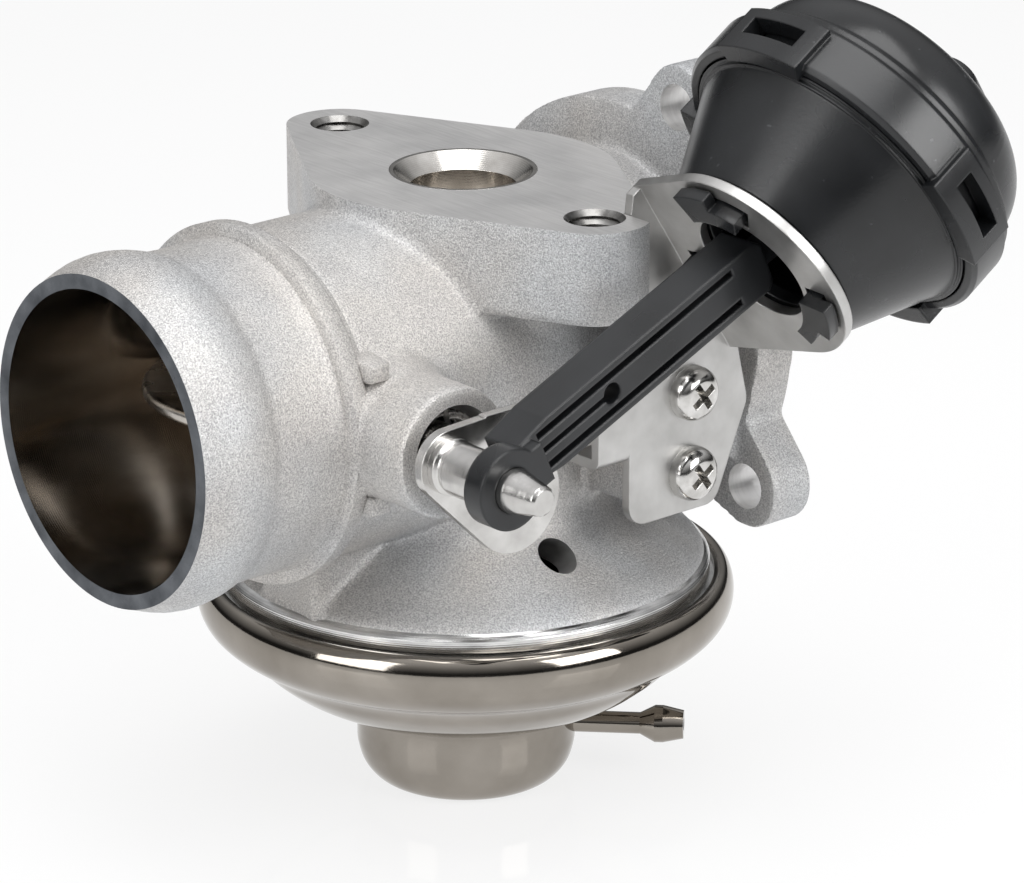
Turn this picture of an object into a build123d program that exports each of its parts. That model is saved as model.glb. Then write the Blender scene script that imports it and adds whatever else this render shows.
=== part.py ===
from build123d import *
import os
from math import atan2, cos, degrees, hypot, radians, sin

# EGR valve with air flap. Millimetres. Origin: centre of the exhaust inlet on the machined
# top flange. +Z up out of the flange, -Y towards the hose, +Y towards the manifold, +X is
# the side with the flap lever.

# ---- driving dimensions ------------------------------------------------------------------
RUN_FIT = 0.05        # radial clearance of turning and sliding fits
SEAT_FIT = 0.03       # radial clearance left round a pressed-in piece
CURVE_GAP = 0.3       # gap between curved faces that only come near each other

# air tube
TUBE_Z = -26.0        # height of the tube axis
BORE_R = 21.2
MOUTH_Y = -64.5       # hose end
SPIGOT_R = 23.0
BEAD_R = 25.0
BEAD_Y = -58.2
BEAD_HALF = 4.6
COLLAR_Y = -40.5      # front of the collar behind the hose
COLLAR_R = 25.6
COLLAR_LEN = 3.0
LUG_LEN = 4.8         # small lugs beside the collar
LUG_HIGH = 4.4
BODY_R = 23.8

# exhaust flange on top
PIPE_BOLT_X = 30.0    # half the spacing of the two threaded holes
PIPE_TURN = -3.5      # the flange is turned a little about the bore, degrees
PIPE_END_R = 7.8
PIPE_MID_R = 22.0
PIPE_THICK = 13.4
PIPE_THREAD_R = 3.4   # minor radius of M8
PIPE_THREAD_DEEP = 20.0
NOTCH = 20.0          # clearance cut beside the bracket
COLUMN_R = 19.5       # exhaust passage below the flange
COLUMN_MORE = 4.0     # how much wider it is along X
CAST_DRAFT = 4.0

# seat and poppet
SEAT_OUT_R = 10.5
SEAT_IN_R = 7.6
SEAT_LEN = 7.0
SEAT_LEAD = 2.3       # lead-in chamfer at the top
SEAT_CONE = 1.1       # seating chamfer at the bottom
HEAD_R = 9.0
HEAD_LIP = 1.3
STEM_R = 2.5
STEM_NECK = 6.0       # tulip length under the head

# manifold flange
FLANGE_Y = 28.0
FLANGE_THICK = 7.0
FLANGE_R = 31.0
EAR_REACH = 35.6      # tube axis to hole centres
EAR_R = 6.2
EAR_HOLE_R = 3.4
EAR_ANGLES = (-35.0, 67.0, 193.0)
SEAL_R = 25.0         # groove of the manifold seal
SEAL_CORD = 1.4

# lower casting and vacuum can
CAN_R = 39.0
RIM_INSET = 1.7       # radii inside the can's roll
DISH_INSET = 3.5
CAVITY_INSET = 13.0
DISH_Z = -58.0
WAIST_R = 20.8        # passage between the tube and the dish
WAIST_HIGH = 16.0
SKIRT_MID_R = 24.3
SKIRT_MID_HIGH = 8.8
WEB_X = 2.0           # web under the tube
WEB_Y = -26.5
WEB_WIDE = 12.0
WEB_LONG = 16.0
BAND = 2.4            # machined band under the dish
RIM_THICK = 1.6
CAN_WALL = 0.9
CAN_ROLL_IN = 2.0     # the roll's lower edge, set in and down from its widest line
CAN_ROLL_DOWN = 7.0
BOWL_R = 31.5
BOWL_Z = -70.5
NECK_R = 16.0
NECK_Z = -80.0
CAN_END_Z = -92.0
CAN_CORNER = 5.0
CAVITY_Z = -53.5
GUIDE_R = 5.0
GUIDE_LEN = 12.0
VENT_R = 2.7
VENT_X = 34.0         # start of the drilling, outside the casting
VENT_Y = -5.0
VENT_Z = -46.5
VENT_WAY = (-1, 0.1, -0.42)
VENT_LEN = 26.0
MEMBRANE = 0.8
FOLD_HIGH = 3.2
CUP_R = 14.0
CUP_SHEET = 1.0
CUP_WALL = 5.0
VALVE_SPRING_R = 10.5
VALVE_WIRE = 0.9
VALVE_TURNS = 6
NIPPLE_Z = -83.7
NIPPLE_TURN = 43.8    # direction about the can axis, degrees from +X
NIPPLE_REACH = 32.0
NIPPLE_R = 1.6
NIPPLE_BORE_R = 0.9
BARB_R = 2.75
BARB_LEN = 4.2

# flap
SHAFT_Y = -31.4
SHAFT_R = 3.5
TAIL_R = 2.2          # riveted tail that carries the lever
TAIL_FLAT = 3.2
FLAP_R = 20.8
FLAP_THICK = 2.0
FLAP_SCREW_X = 9.0
M3_R = 1.5
SCREW_FIT = 0.05
SCREW_HEAD_R = 2.8
SCREW_HEAD_H = 1.6
SCREW_SLOT = 0.6
BOSS_R = 9.2
BOSS_X = 35.0
POCKET_R = 6.8
POCKET_DEEP = 8.0
BUSH_R = 5.0
BLIND_X = -31.0       # end of the boss on the far side

# lever and crank pin
LEVER_X = 40.0
SHEET = 1.5
PIN_Y = -37.7
PIN_Z = -24.4
PIN_R = 3.65
PIN_NECK_R = 3.05     # the end that carries the rod eye
PIN_END_X = 60.5
PIN_TAPER = 5.3
PIN_TIP_R = 2.05
PIN_HEAD_R = 4.9      # lever end round the pin
LOBE_Y = -26.0
LOBE_Z = -32.0
LOBE_R = 7.6
ARM_TOP_Z = -19.0
ARM_DEEP = 8.0
ARM_END_Y = -13.0
TAB_X = 35.5          # inner end of the arm's bent tab
TORSION_R = 5.0
TORSION_WIRE = 0.6

# link rod
ROD_X = 49.0          # middle plane of the rod
ROD_NECK_LEN = 9.0    # round neck that ends in the ball
EYE_R = 5.6
EYE_BACK_X = 50.9     # the eye stands proud of the rod's outer face
EYE_WIDE = 3.4
EYE_TAB = 6.6         # flat tab from the eye onto the rod
EYE_TAB_HALF = 3.0
ROD_WIDE = 8.0        # across, in the swing plane
ROD_THICK = 6.4       # along X
ROD_GROOVE = 2.2
ROD_JOINT_S = 8.0     # ball centre along the actuator axis
BALL_R = 3.2
KEY_HOLE_R = 1.5
KEY_HOLE_AT = 21.0
KEY_SLOT = 0.9
SHANK_TAPER = 6.0     # over this length the rod widens from the eye

# actuator and its bracket
CAP_X = ROD_X        # the rod swings in the plane of the actuator axis
CAP_Y = 11.1
CAP_Z = -4.2
CAP_RISE = 33.0       # axis rises from +Y, degrees
PLATE_X = 32.5        # outer face of the bracket's base
PLATE_FRONT_Y = 2.6   # edge of the base towards the hose
PLATE_LOW_Z = -45.7
PLATE_TOP_Z = -1.0
PLATE_FOOT_Y = 19.0
PLATE_NOSE_Y = 25.0
PLATE_NOSE_Z = -31.5
BEND_HIGH = 10.2      # ends of the bend above and below the actuator axis
BEND_LOW = 21.5
TONGUE_LEN = 5.8
TONGUE_TOP_Z = -23.0
TONGUE_LOW_Z = -36.0
TONGUE_FOLD = 6.0
PLATE_RING_R = 16.0
PLATE_HOLE_R = 9.0
PLATE_CORNER = 3.0
PLATE_SCREW_Y = 14.0
PLATE_SCREW_Z = (-28.1, -40.0)
PAD_FRONT_Y = 5.0     # pad on the casting behind the bracket
PAD_BACK_Y = 19.5
PAD_NOSE_Y = 23.5
PAD_NOSE_Z = -32.0
PAD_TOP_Z = -21.0
PAD_LOW_Z = -44.0
PAD_ROOT_X = 9.0
PAD_STEP = 4.0
PAD_CORNER = 2.0
PAN_R = 3.95
PAN_H = 2.9
M4_R = 1.95
SCREW_DEEP = 9.0
CONE_FRONT_R = 15.2
CONE_START = 0.6
CONE_END = 15.0
SHELL_R = 22.7
CLIP_OUT = 2.0        # radii set off from the shell's
DOME_OUT = 1.2
STEP_IN = 0.5
CONE_IN = 1.0
PISTON_IN = 7.2
SHELL_END = 22.2
SHELL_WALL = 1.8
CLIP_START = 15.8
CLIP_LEN = 7.6
LATCH_ANGLES = (0, 90, 180, 270)
LATCH_ARC = 34.0
LATCH_PROUD = 1.2
WINDOW_ARC = 22.0
WINDOW_EDGE = 1.6
WINDOW_HIGH = 3.0
ROLL_SHEET = 0.8      # rolling diaphragm
ROLL_DEEP = 5.0
ROLL_ROUND = 2.0
DOME_END = 34.5
DOME_ROUND = 9.0
HOOK_IN_R = 10.4
HOOK_OUT_R = 13.0
HOOK_ARC = 46.0
HOOK_ANGLES = (30, 150, 270)
HOOK_LIP_R = 15.0
CAP_DOOR_R = 9.0      # opening in the front shell for the rod
SLOT_SPARE = 0.5
SLOT_MORE = 6.0       # degrees that a slot is longer than its hook
PISTON_LEN = 9.0
SOCKET_R = 5.2
SOCKET_DEEP = 6.0
NECK_IN_R = 2.2       # rod neck before the ball
PISTON_SKIRT = 1.4    # wall of the piston round the spring
SPRING_SIDE = 0.6     # room between that wall and the spring
CAP_WIRE = 0.9
CAP_TURNS = 4
PORT_WIDE = 16.0
PORT_X = 2.0          # middle of the port block, off the actuator axis
PORT_REACH = 15.7
PORT_BACK = 4.7
PORT_FOOT = 30.3      # levels along the actuator axis
PORT_TOP = 39.0
PORT_AXIS = 36.0
PORT_ROUND = 4.0
PORT_R = 2.0

# ---- places worked out from them -----------------------------------------------------------
rise = radians(CAP_RISE)
cap_axis = (0, cos(rise), sin(rise))
cap_plane = Plane(origin=(CAP_X, CAP_Y, CAP_Z), x_dir=(1, 0, 0), z_dir=cap_axis)
ball_y = CAP_Y + ROD_JOINT_S * cos(rise)
ball_z = CAP_Z + ROD_JOINT_S * sin(rise)
rod_len = hypot(ball_y - PIN_Y, ball_z - PIN_Z)
rod_rise = degrees(atan2(ball_z - PIN_Z, ball_y - PIN_Y))
rod_axis = (0, cos(radians(rod_rise)), sin(radians(rod_rise)))
screw_spots = [(PLATE_SCREW_Y, z) for z in PLATE_SCREW_Z]
rim_z = DISH_Z - BAND
rim_r = CAN_R - RIM_INSET
dish_r = CAN_R - DISH_INSET
cavity_r = CAN_R - CAVITY_INSET
clip_r = SHELL_R + CLIP_OUT
dome_r = SHELL_R + DOME_OUT
step_r = SHELL_R - STEP_IN
cone_back_r = SHELL_R - CONE_IN
piston_r = SHELL_R - PISTON_IN
cap_spring_r = piston_r - PISTON_SKIRT - SPRING_SIDE - CAP_WIRE
membrane_z = rim_z - RIM_THICK
flange_back_y = FLANGE_Y + FLANGE_THICK
seat_z = -SEAT_LEN
tube_axis = Axis((0, 0, TUBE_Z), (0, 1, 0))
lever_side = Plane(origin=(0, 0, 0), x_dir=(0, 1, 0), z_dir=(1, 0, 0))
manifold_side = Plane(origin=(0, 0, 0), x_dir=(1, 0, 0), z_dir=(0, -1, 0))


def across(x):
    """Plane facing +X at x, with local x along Y and local y along Z."""
    return lever_side.offset(x)


def facing_hose(y):
    """Plane facing -Y at y, with local x along X and local y along Z."""
    return manifold_side.offset(-y)


def along_cap(s):
    """Plane square to the actuator axis, s from the bracket ring's back face."""
    return cap_plane.offset(s)


def save(piece, name):
    piece.part.label = name
    export_step(piece.part, f"parts/{name}.step")


os.makedirs("parts", exist_ok=True)

# ---- housing: the aluminium casting --------------------------------------------------------
with BuildPart() as housing:
    # hose spigot, bead, collar and body turned about the tube axis
    with BuildSketch(Plane.YZ):
        with BuildLine():
            bead_front = (BEAD_Y - BEAD_HALF, TUBE_Z + SPIGOT_R)
            bead_top = (BEAD_Y, TUBE_Z + BEAD_R)
            bead_back = (BEAD_Y + BEAD_HALF, TUBE_Z + SPIGOT_R)
            Polyline((MOUTH_Y, TUBE_Z), (MOUTH_Y, TUBE_Z + SPIGOT_R), bead_front)
            ThreePointArc(bead_front, bead_top, bead_back)
            Polyline(
                bead_back,
                (COLLAR_Y, TUBE_Z + SPIGOT_R),
                (COLLAR_Y, TUBE_Z + COLLAR_R),
                (COLLAR_Y + COLLAR_LEN, TUBE_Z + COLLAR_R),
                (COLLAR_Y + 2 * COLLAR_LEN, TUBE_Z + BODY_R),
                (flange_back_y, TUBE_Z + BODY_R),
                (flange_back_y, TUBE_Z),
                (MOUTH_Y, TUBE_Z),
            )
        make_face()
    revolve(axis=tube_axis)

    # exhaust flange and the passage below it
    with BuildSketch(Plane.XY):
        with Locations(Rotation(0, 0, PIPE_TURN)):
            with Locations((0, 0)):
                Circle(PIPE_MID_R)
            with Locations((-PIPE_BOLT_X, 0), (PIPE_BOLT_X, 0)):
                Circle(PIPE_END_R)
        make_hull()
    extrude(amount=-PIPE_THICK)
    with BuildSketch(Plane.XY.offset(-PIPE_THICK)):
        Ellipse(COLUMN_R + COLUMN_MORE, COLUMN_R)
    extrude(amount=TUBE_Z + PIPE_THICK, taper=CAST_DRAFT)

    # manifold flange with its three ears
    with BuildSketch(facing_hose(flange_back_y)):
        with Locations((0, TUBE_Z)):
            Circle(FLANGE_R)
        for angle in EAR_ANGLES:
            turn = Rotation(0, 0, angle)
            with Locations(Location((0, TUBE_Z)) * turn):
                with BuildSketch(mode=Mode.PRIVATE) as ear:
                    with Locations((EAR_REACH, 0)):
                        Circle(EAR_R)
                    with Locations((EAR_REACH / 2, 0)):
                        Circle(EAR_R * 1.7)
                    make_hull()
                add(ear.sketch)
    extrude(amount=FLANGE_THICK)

    # dish that carries the vacuum can
    with BuildSketch(Plane.XZ):
        with BuildLine():
            waist = (WAIST_R, DISH_Z + WAIST_HIGH)
            skirt_mid = (SKIRT_MID_R, DISH_Z + SKIRT_MID_HIGH)
            skirt_low = (dish_r - 2.5, DISH_Z + 2.6)
            Polyline((0, TUBE_Z), (WAIST_R, TUBE_Z), waist)
            ThreePointArc(waist, skirt_mid, skirt_low)
            Polyline(
                skirt_low,
                (dish_r - 0.5, DISH_Z + 1.2),
                (dish_r, DISH_Z),
                (dish_r, rim_z),
                (rim_r - 0.9, rim_z),
                (rim_r, rim_z - 0.9),
                (rim_r, membrane_z),
                (0, membrane_z),
                (0, TUBE_Z),
            )
        make_face()
    revolve(axis=Axis.Z)

    # web from the tube down to the dish
    with BuildSketch(Plane.XY.offset(DISH_Z)):
        with Locations((WEB_X, WEB_Y)):
            Rectangle(WEB_WIDE, WEB_LONG)
    extrude(amount=TUBE_Z - DISH_Z - WEB_LONG)

    # shaft boss on the lever side, blind boss on the far side
    with BuildSketch(across(BLIND_X)):
        with Locations((SHAFT_Y, TUBE_Z)):
            Circle(BOSS_R)
    extrude(amount=BOSS_X - BLIND_X)

    # pad for the actuator bracket, carried back to the manifold flange
    pad_face = PLATE_X - SHEET
    with BuildSketch(across(pad_face)) as pad:
        with BuildLine():
            Polyline(
                (PAD_FRONT_Y, PAD_TOP_Z),
                (PAD_BACK_Y, PAD_TOP_Z),
                (PAD_NOSE_Y, PAD_NOSE_Z),
                (PAD_BACK_Y, PAD_LOW_Z),
                (PAD_FRONT_Y, PAD_LOW_Z),
                (PAD_FRONT_Y, PAD_TOP_Z),
            )
        make_face()
        fillet(pad.vertices(), PAD_CORNER)
    extrude(amount=-(pad_face - PAD_ROOT_X))
    with BuildSketch(across(pad_face - PAD_STEP)):
        with BuildLine():
            rib_y = FLANGE_Y + 1
            Polyline(
                (PAD_BACK_Y - PAD_CORNER, PAD_TOP_Z + 1),
                (rib_y, PAD_TOP_Z + PAD_STEP),
                (rib_y, PAD_LOW_Z + PAD_CORNER),
                (PAD_BACK_Y - PAD_CORNER, PAD_LOW_Z + 1),
                (PAD_BACK_Y - PAD_CORNER, PAD_TOP_Z + 1),
            )
        make_face()
    extrude(amount=-(pad_face - PAD_STEP - PAD_ROOT_X))

    # round pad on the flange edge
    with BuildSketch(across(FLANGE_R + 0.4)):
        with Locations((FLANGE_Y + FLANGE_THICK / 2, TUBE_Z - 1)):
            Circle(FLANGE_THICK / 2)
    extrude(amount=-FLANGE_THICK)

    # small lugs beside the collar
    with BuildSketch(across(COLLAR_R)):
        with Locations((COLLAR_Y + LUG_LEN, TUBE_Z + BOSS_R + 0.8), (COLLAR_Y + LUG_LEN, TUBE_Z - BOSS_R)):
            RectangleRounded(LUG_LEN, LUG_HIGH, 1)
    extrude(amount=-COLLAR_R / 2)

    # air bore, exhaust port and seat hole
    with BuildSketch(facing_hose(MOUTH_Y)):
        with Locations((0, TUBE_Z)):
            Circle(BORE_R)
    extrude(amount=-(flange_back_y - MOUTH_Y), mode=Mode.SUBTRACT)
    with BuildSketch(Plane.XY):
        Circle(SEAT_OUT_R + SEAT_FIT)
    extrude(amount=TUBE_Z, mode=Mode.SUBTRACT)

    # threaded holes of the pipe flange
    with Locations(Location((0, 0, 0), (0, 0, PIPE_TURN))):
        with Locations((-PIPE_BOLT_X, 0), (PIPE_BOLT_X, 0)):
            Hole(PIPE_THREAD_R, depth=PIPE_THREAD_DEEP)

    # notch that clears the bracket, and the bracket's screw holes
    with BuildSketch(Plane.XY):
        with Locations((PLATE_X - SHEET - 0.2, PLATE_FRONT_Y - 0.2)):
            Rectangle(NOTCH, NOTCH, align=(Align.MIN, Align.MIN))
    extrude(amount=-PIPE_THICK - 1, mode=Mode.SUBTRACT)
    with BuildSketch(across(pad_face)):
        with Locations(*screw_spots):
            Circle(M4_R + SEAT_FIT)
    extrude(amount=-SCREW_DEEP, mode=Mode.SUBTRACT)

    # ear holes
    with BuildSketch(facing_hose(FLANGE_Y)):
        with Locations((0, TUBE_Z)):
            with Locations(*[Rotation(0, 0, a) * Location((EAR_REACH, 0)) for a in EAR_ANGLES]):
                Circle(EAR_HOLE_R)
    extrude(amount=-FLANGE_THICK, mode=Mode.SUBTRACT)

    # seal groove in the manifold face
    with BuildSketch(facing_hose(flange_back_y)):
        with Locations((0, TUBE_Z)):
            Circle(SEAL_R + SEAL_CORD)
            Circle(SEAL_R - SEAL_CORD, mode=Mode.SUBTRACT)
    extrude(amount=2 * SEAL_CORD, mode=Mode.SUBTRACT)

    # spring pocket, bush seats and shaft hole
    with BuildSketch(across(BOSS_X)):
        with Locations((SHAFT_Y, TUBE_Z)):
            Circle(POCKET_R)
    extrude(amount=-POCKET_DEEP, mode=Mode.SUBTRACT)
    with BuildSketch(across(BOSS_X)):
        with Locations((SHAFT_Y, TUBE_Z)):
            Circle(BUSH_R + SEAT_FIT)
    extrude(amount=-(BOSS_X - BLIND_X), mode=Mode.SUBTRACT)

    # space over the diaphragm, guide hole and vent
    with BuildSketch(Plane.XY.offset(membrane_z)):
        Circle(cavity_r)
        Circle(GUIDE_R + 3.5, mode=Mode.SUBTRACT)
    extrude(amount=CAVITY_Z - membrane_z, mode=Mode.SUBTRACT)
    with BuildSketch(Plane.XY.offset(membrane_z)):
        Circle(GUIDE_R + 3.5)
    extrude(amount=2.5, mode=Mode.SUBTRACT)
    with BuildSketch(Plane.XY.offset(membrane_z)):
        Circle(GUIDE_R + SEAT_FIT)
    extrude(amount=TUBE_Z - BORE_R / 2 - membrane_z, mode=Mode.SUBTRACT)
    # vent of that space, drilled from the lever side
    with BuildSketch(across(VENT_X)):
        with Locations((VENT_Y, VENT_Z)):
            Circle(VENT_R)
    extrude(amount=VENT_LEN, mode=Mode.SUBTRACT, dir=VENT_WAY)
save(housing, "housing")


# ---- exhaust seat and poppet ---------------------------------------------------------------
with BuildPart() as seat_ring:
    with BuildSketch(Plane.XZ):
        with BuildLine():
            Polyline(
                (SEAT_IN_R + SEAT_LEAD, 0),
                (SEAT_OUT_R, 0),
                (SEAT_OUT_R, seat_z),
                (SEAT_IN_R + SEAT_CONE, seat_z),
                (SEAT_IN_R, seat_z + SEAT_CONE),
                (SEAT_IN_R, -SEAT_LEAD),
                (SEAT_IN_R + SEAT_LEAD, 0),
            )
        make_face()
    revolve(axis=Axis.Z)
save(seat_ring, "seat_ring")

head_top_z = seat_z + SEAT_CONE - CURVE_GAP
stem_end_z = membrane_z - MEMBRANE - CUP_SHEET - 2.5
with BuildPart() as poppet_valve:
    with BuildSketch(Plane.XZ):
        with BuildLine():
            neck_top = (HEAD_R, seat_z - CURVE_GAP - HEAD_LIP)
            neck_end = (STEM_R, seat_z - CURVE_GAP - HEAD_LIP - STEM_NECK)
            Polyline(
                (0, head_top_z),
                (HEAD_R - SEAT_CONE - CURVE_GAP, head_top_z),
                (HEAD_R, seat_z - CURVE_GAP),
                neck_top,
            )
            ThreePointArc(neck_top, (STEM_R + 1.3, neck_end[1] + STEM_NECK * 0.42), neck_end)
            Polyline(neck_end, (STEM_R, stem_end_z), (0, stem_end_z), (0, head_top_z))
        make_face()
    revolve(axis=Axis.Z)
save(poppet_valve, "poppet_valve")

guide_low_z = membrane_z + 2.5
with BuildPart() as valve_guide:
    with BuildSketch(Plane.XY.offset(guide_low_z)):
        Circle(GUIDE_R)
        Circle(STEM_R + RUN_FIT, mode=Mode.SUBTRACT)
    extrude(amount=GUIDE_LEN + 1)
    chamfer(valve_guide.edges().filter_by(GeomType.CIRCLE).group_by(Axis.Z)[-1].sort_by(SortBy.RADIUS)[-1], 1)
save(valve_guide, "valve_guide")

with BuildPart() as stem_seal:
    with BuildSketch(Plane.XY.offset(membrane_z + 0.3)):
        Circle(GUIDE_R)
        Circle(STEM_R + RUN_FIT, mode=Mode.SUBTRACT)
    extrude(amount=2.2)
save(stem_seal, "stem_seal")

# ---- vacuum can ----------------------------------------------------------------------------
with BuildPart() as can_body:
    with BuildSketch(Plane.XZ):
        with BuildSketch(mode=Mode.PRIVATE) as outline:
            with BuildLine():
                top = rim_z + CAN_WALL
                shoulder = (CAN_R - 1.4, top)
                belly = (CAN_R, rim_z - 3.0)
                belly_low = (CAN_R - CAN_ROLL_IN, rim_z - CAN_ROLL_DOWN)
                bowl_top = (BOWL_R, BOWL_Z)
                bowl_low = (NECK_R + 2.5, NECK_Z + 1.2)
                neck_top = (NECK_R, NECK_Z)
                wall_end = (NECK_R, CAN_END_Z + CAN_CORNER)
                base_edge = (NECK_R - CAN_CORNER, CAN_END_Z)
                Line((0, top), shoulder)
                ThreePointArc(shoulder, (CAN_R - 0.3, rim_z - 0.6), belly)
                ThreePointArc(belly, (CAN_R - 0.5, rim_z - 5.2), belly_low)
                Line(belly_low, bowl_top)
                ThreePointArc(bowl_top, (BOWL_R - 4.2, BOWL_Z - 5.2), bowl_low)
                Polyline(bowl_low, neck_top, wall_end)
                RadiusArc(wall_end, base_edge, CAN_CORNER)
                Polyline(base_edge, (0, CAN_END_Z), (0, top))
            make_face()
            mirror(about=Plane.YZ)
        add(outline.sketch)
        offset(outline.sketch, amount=-CAN_WALL, mode=Mode.SUBTRACT)
        with Locations((0, rim_z + CAN_WALL / 2)):
            Rectangle(2 * (dish_r + 0.6), 2 * CAN_WALL, mode=Mode.SUBTRACT)
        with Locations((-CAN_R, DISH_Z)):
            Rectangle(2 * CAN_R, 4 * CAN_R, mode=Mode.SUBTRACT)
    revolve(axis=Axis.Z)
    nipple_way = (cos(radians(NIPPLE_TURN)), sin(radians(NIPPLE_TURN)), 0)
    nipple_plane = Plane(origin=(0, 0, NIPPLE_Z), z_dir=nipple_way)
    with BuildSketch(nipple_plane.offset(NECK_R - CAN_WALL - 1)):
        Circle(NIPPLE_R + SEAT_FIT)
    extrude(amount=CAN_WALL + 3, mode=Mode.SUBTRACT)
save(can_body, "can_body")

with BuildPart() as can_nipple:
    with BuildSketch(Plane.XZ):
        with BuildLine():
            root = NECK_R - CAN_WALL - 0.6
            barb = NIPPLE_REACH - BARB_LEN
            Polyline(
                (NIPPLE_BORE_R, root),
                (NIPPLE_R, root),
                (NIPPLE_R, barb - 2.2),
                (BARB_R, barb),
                (BARB_R, barb + 1.2),
                (NIPPLE_R + 0.5, NIPPLE_REACH),
                (NIPPLE_BORE_R, NIPPLE_REACH),
                (NIPPLE_BORE_R, root),
            )
        make_face()
    revolve(axis=Axis.Z)
can_nipple.part = nipple_plane * can_nipple.part
save(can_nipple, "can_nipple")

membrane_low_z = membrane_z - MEMBRANE
with BuildPart() as valve_diaphragm:
    with BuildSketch(Plane.XZ):
        with BuildLine() as fold:
            fold_in = CUP_R + FOLD_HIGH
            fold_out = cavity_r - CURVE_GAP - MEMBRANE
            fold_mid = (fold_in + fold_out) / 2
            rim_in = rim_r - 0.2
            Line((STEM_R + RUN_FIT, membrane_z), (fold_in, membrane_z))
            ThreePointArc((fold_in, membrane_z), (fold_mid, membrane_z + FOLD_HIGH), (fold_out, membrane_z))
            Line((fold_out, membrane_z), (rim_in, membrane_z))
            Line((rim_in, membrane_z), (rim_in, membrane_low_z))
            Line((rim_in, membrane_low_z), (fold_out - MEMBRANE, membrane_low_z))
            ThreePointArc(
                (fold_out - MEMBRANE, membrane_low_z),
                (fold_mid, membrane_z + FOLD_HIGH - MEMBRANE),
                (fold_in + MEMBRANE, membrane_low_z),
            )
            Line((fold_in + MEMBRANE, membrane_low_z), (STEM_R + RUN_FIT, membrane_low_z))
            Line((STEM_R + RUN_FIT, membrane_low_z), (STEM_R + RUN_FIT, membrane_z))
        make_face()
    revolve(axis=Axis.Z)
save(valve_diaphragm, "valve_diaphragm")

# steel ring that clamps the diaphragm edge under the casting's rim
with BuildPart() as clamp_ring:
    with BuildSketch(Plane.XY.offset(membrane_low_z)):
        Circle(rim_r - 0.2)
        Circle(cavity_r + 1.5, mode=Mode.SUBTRACT)
    extrude(amount=-1.4)
save(clamp_ring, "clamp_ring")

# cup under the diaphragm that holds the spring, and the washer above it
with BuildPart() as spring_cup:
    with BuildSketch(Plane.XZ):
        with BuildLine():
            low_z = membrane_low_z - CUP_SHEET
            Polyline(
                (STEM_R + RUN_FIT, membrane_low_z),
                (CUP_R, membrane_low_z),
                (CUP_R, membrane_low_z - CUP_WALL),
                (CUP_R - CUP_SHEET, membrane_low_z - CUP_WALL),
                (CUP_R - CUP_SHEET, low_z),
                (STEM_R + RUN_FIT, low_z),
                (STEM_R + RUN_FIT, membrane_low_z),
            )
        make_face()
    revolve(axis=Axis.Z)
    outer_bend = spring_cup.edges().filter_by(GeomType.CIRCLE).group_by(Axis.Z)[-1].sort_by(SortBy.RADIUS)[-1]
    fillet(outer_bend, CUP_SHEET * 0.8)
save(spring_cup, "spring_cup")

with BuildPart() as stem_rivet:
    with BuildSketch(Plane.XY.offset(low_z)):
        Circle(STEM_R + 2.2)
        Circle(STEM_R + RUN_FIT, mode=Mode.SUBTRACT)
    extrude(amount=-1.8)
    chamfer(stem_rivet.faces().sort_by(Axis.Z)[0].edges().sort_by(SortBy.RADIUS)[-1], 0.6)
save(stem_rivet, "stem_rivet")


def coil(radius, wire, start, end, turns):
    """Wire coil about Z from start to end, with its wire touching both levels."""
    low = start + wire
    high = end - wire
    with BuildPart() as spring:
        with BuildLine() as path:
            Helix(pitch=(high - low) / turns, height=high - low, radius=radius, center=(0, 0, low))
        with BuildSketch(Plane(origin=path.line @ 0, z_dir=path.line % 0)):
            Circle(wire)
        sweep(path=path.line)
    return spring


valve_spring = coil(VALVE_SPRING_R, VALVE_WIRE, CAN_END_Z + CAN_WALL, low_z, VALVE_TURNS)
save(valve_spring, "valve_spring")

# ---- flap, shaft and what they turn in -----------------------------------------------------
shaft_start = BLIND_X + 4.5
with BuildPart() as flap_shaft:
    with BuildSketch(across(shaft_start)):
        with Locations((SHAFT_Y, TUBE_Z)):
            Circle(SHAFT_R)
    extrude(amount=LEVER_X - shaft_start)
    # flatted end that carries the lever
    with BuildSketch(across(LEVER_X)):
        with Locations((SHAFT_Y, TUBE_Z)):
            Circle(TAIL_R)
            Rectangle(2 * SHAFT_R, TAIL_FLAT, mode=Mode.INTERSECT)
    extrude(amount=SHEET + 0.8)
    # flat under the flap
    with BuildSketch(across(-FLAP_R)):
        with Locations((SHAFT_Y, TUBE_Z + SHAFT_R / 2)):
            Rectangle(3 * SHAFT_R, SHAFT_R)
    extrude(amount=2 * FLAP_R, mode=Mode.SUBTRACT)
    with BuildSketch(Plane.XY.offset(TUBE_Z)):
        with Locations((-FLAP_SCREW_X, SHAFT_Y), (FLAP_SCREW_X, SHAFT_Y)):
            Circle(M3_R)
    extrude(amount=-2 * SHAFT_R, mode=Mode.SUBTRACT)
save(flap_shaft, "flap_shaft")

with BuildPart() as flap_plate:
    with BuildSketch(Plane.XY.offset(TUBE_Z)):
        with Locations((0, SHAFT_Y)):
            Circle(FLAP_R)
        with Locations((-FLAP_SCREW_X, SHAFT_Y), (FLAP_SCREW_X, SHAFT_Y)):
            Circle(M3_R + SCREW_FIT, mode=Mode.SUBTRACT)
    extrude(amount=FLAP_THICK)
    rim_edges = flap_plate.edges().filter_by(GeomType.CIRCLE).filter_by(lambda e: e.radius > FLAP_R / 2)
    fillet(rim_edges, FLAP_THICK * 0.4)
save(flap_plate, "flap_plate")

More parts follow.
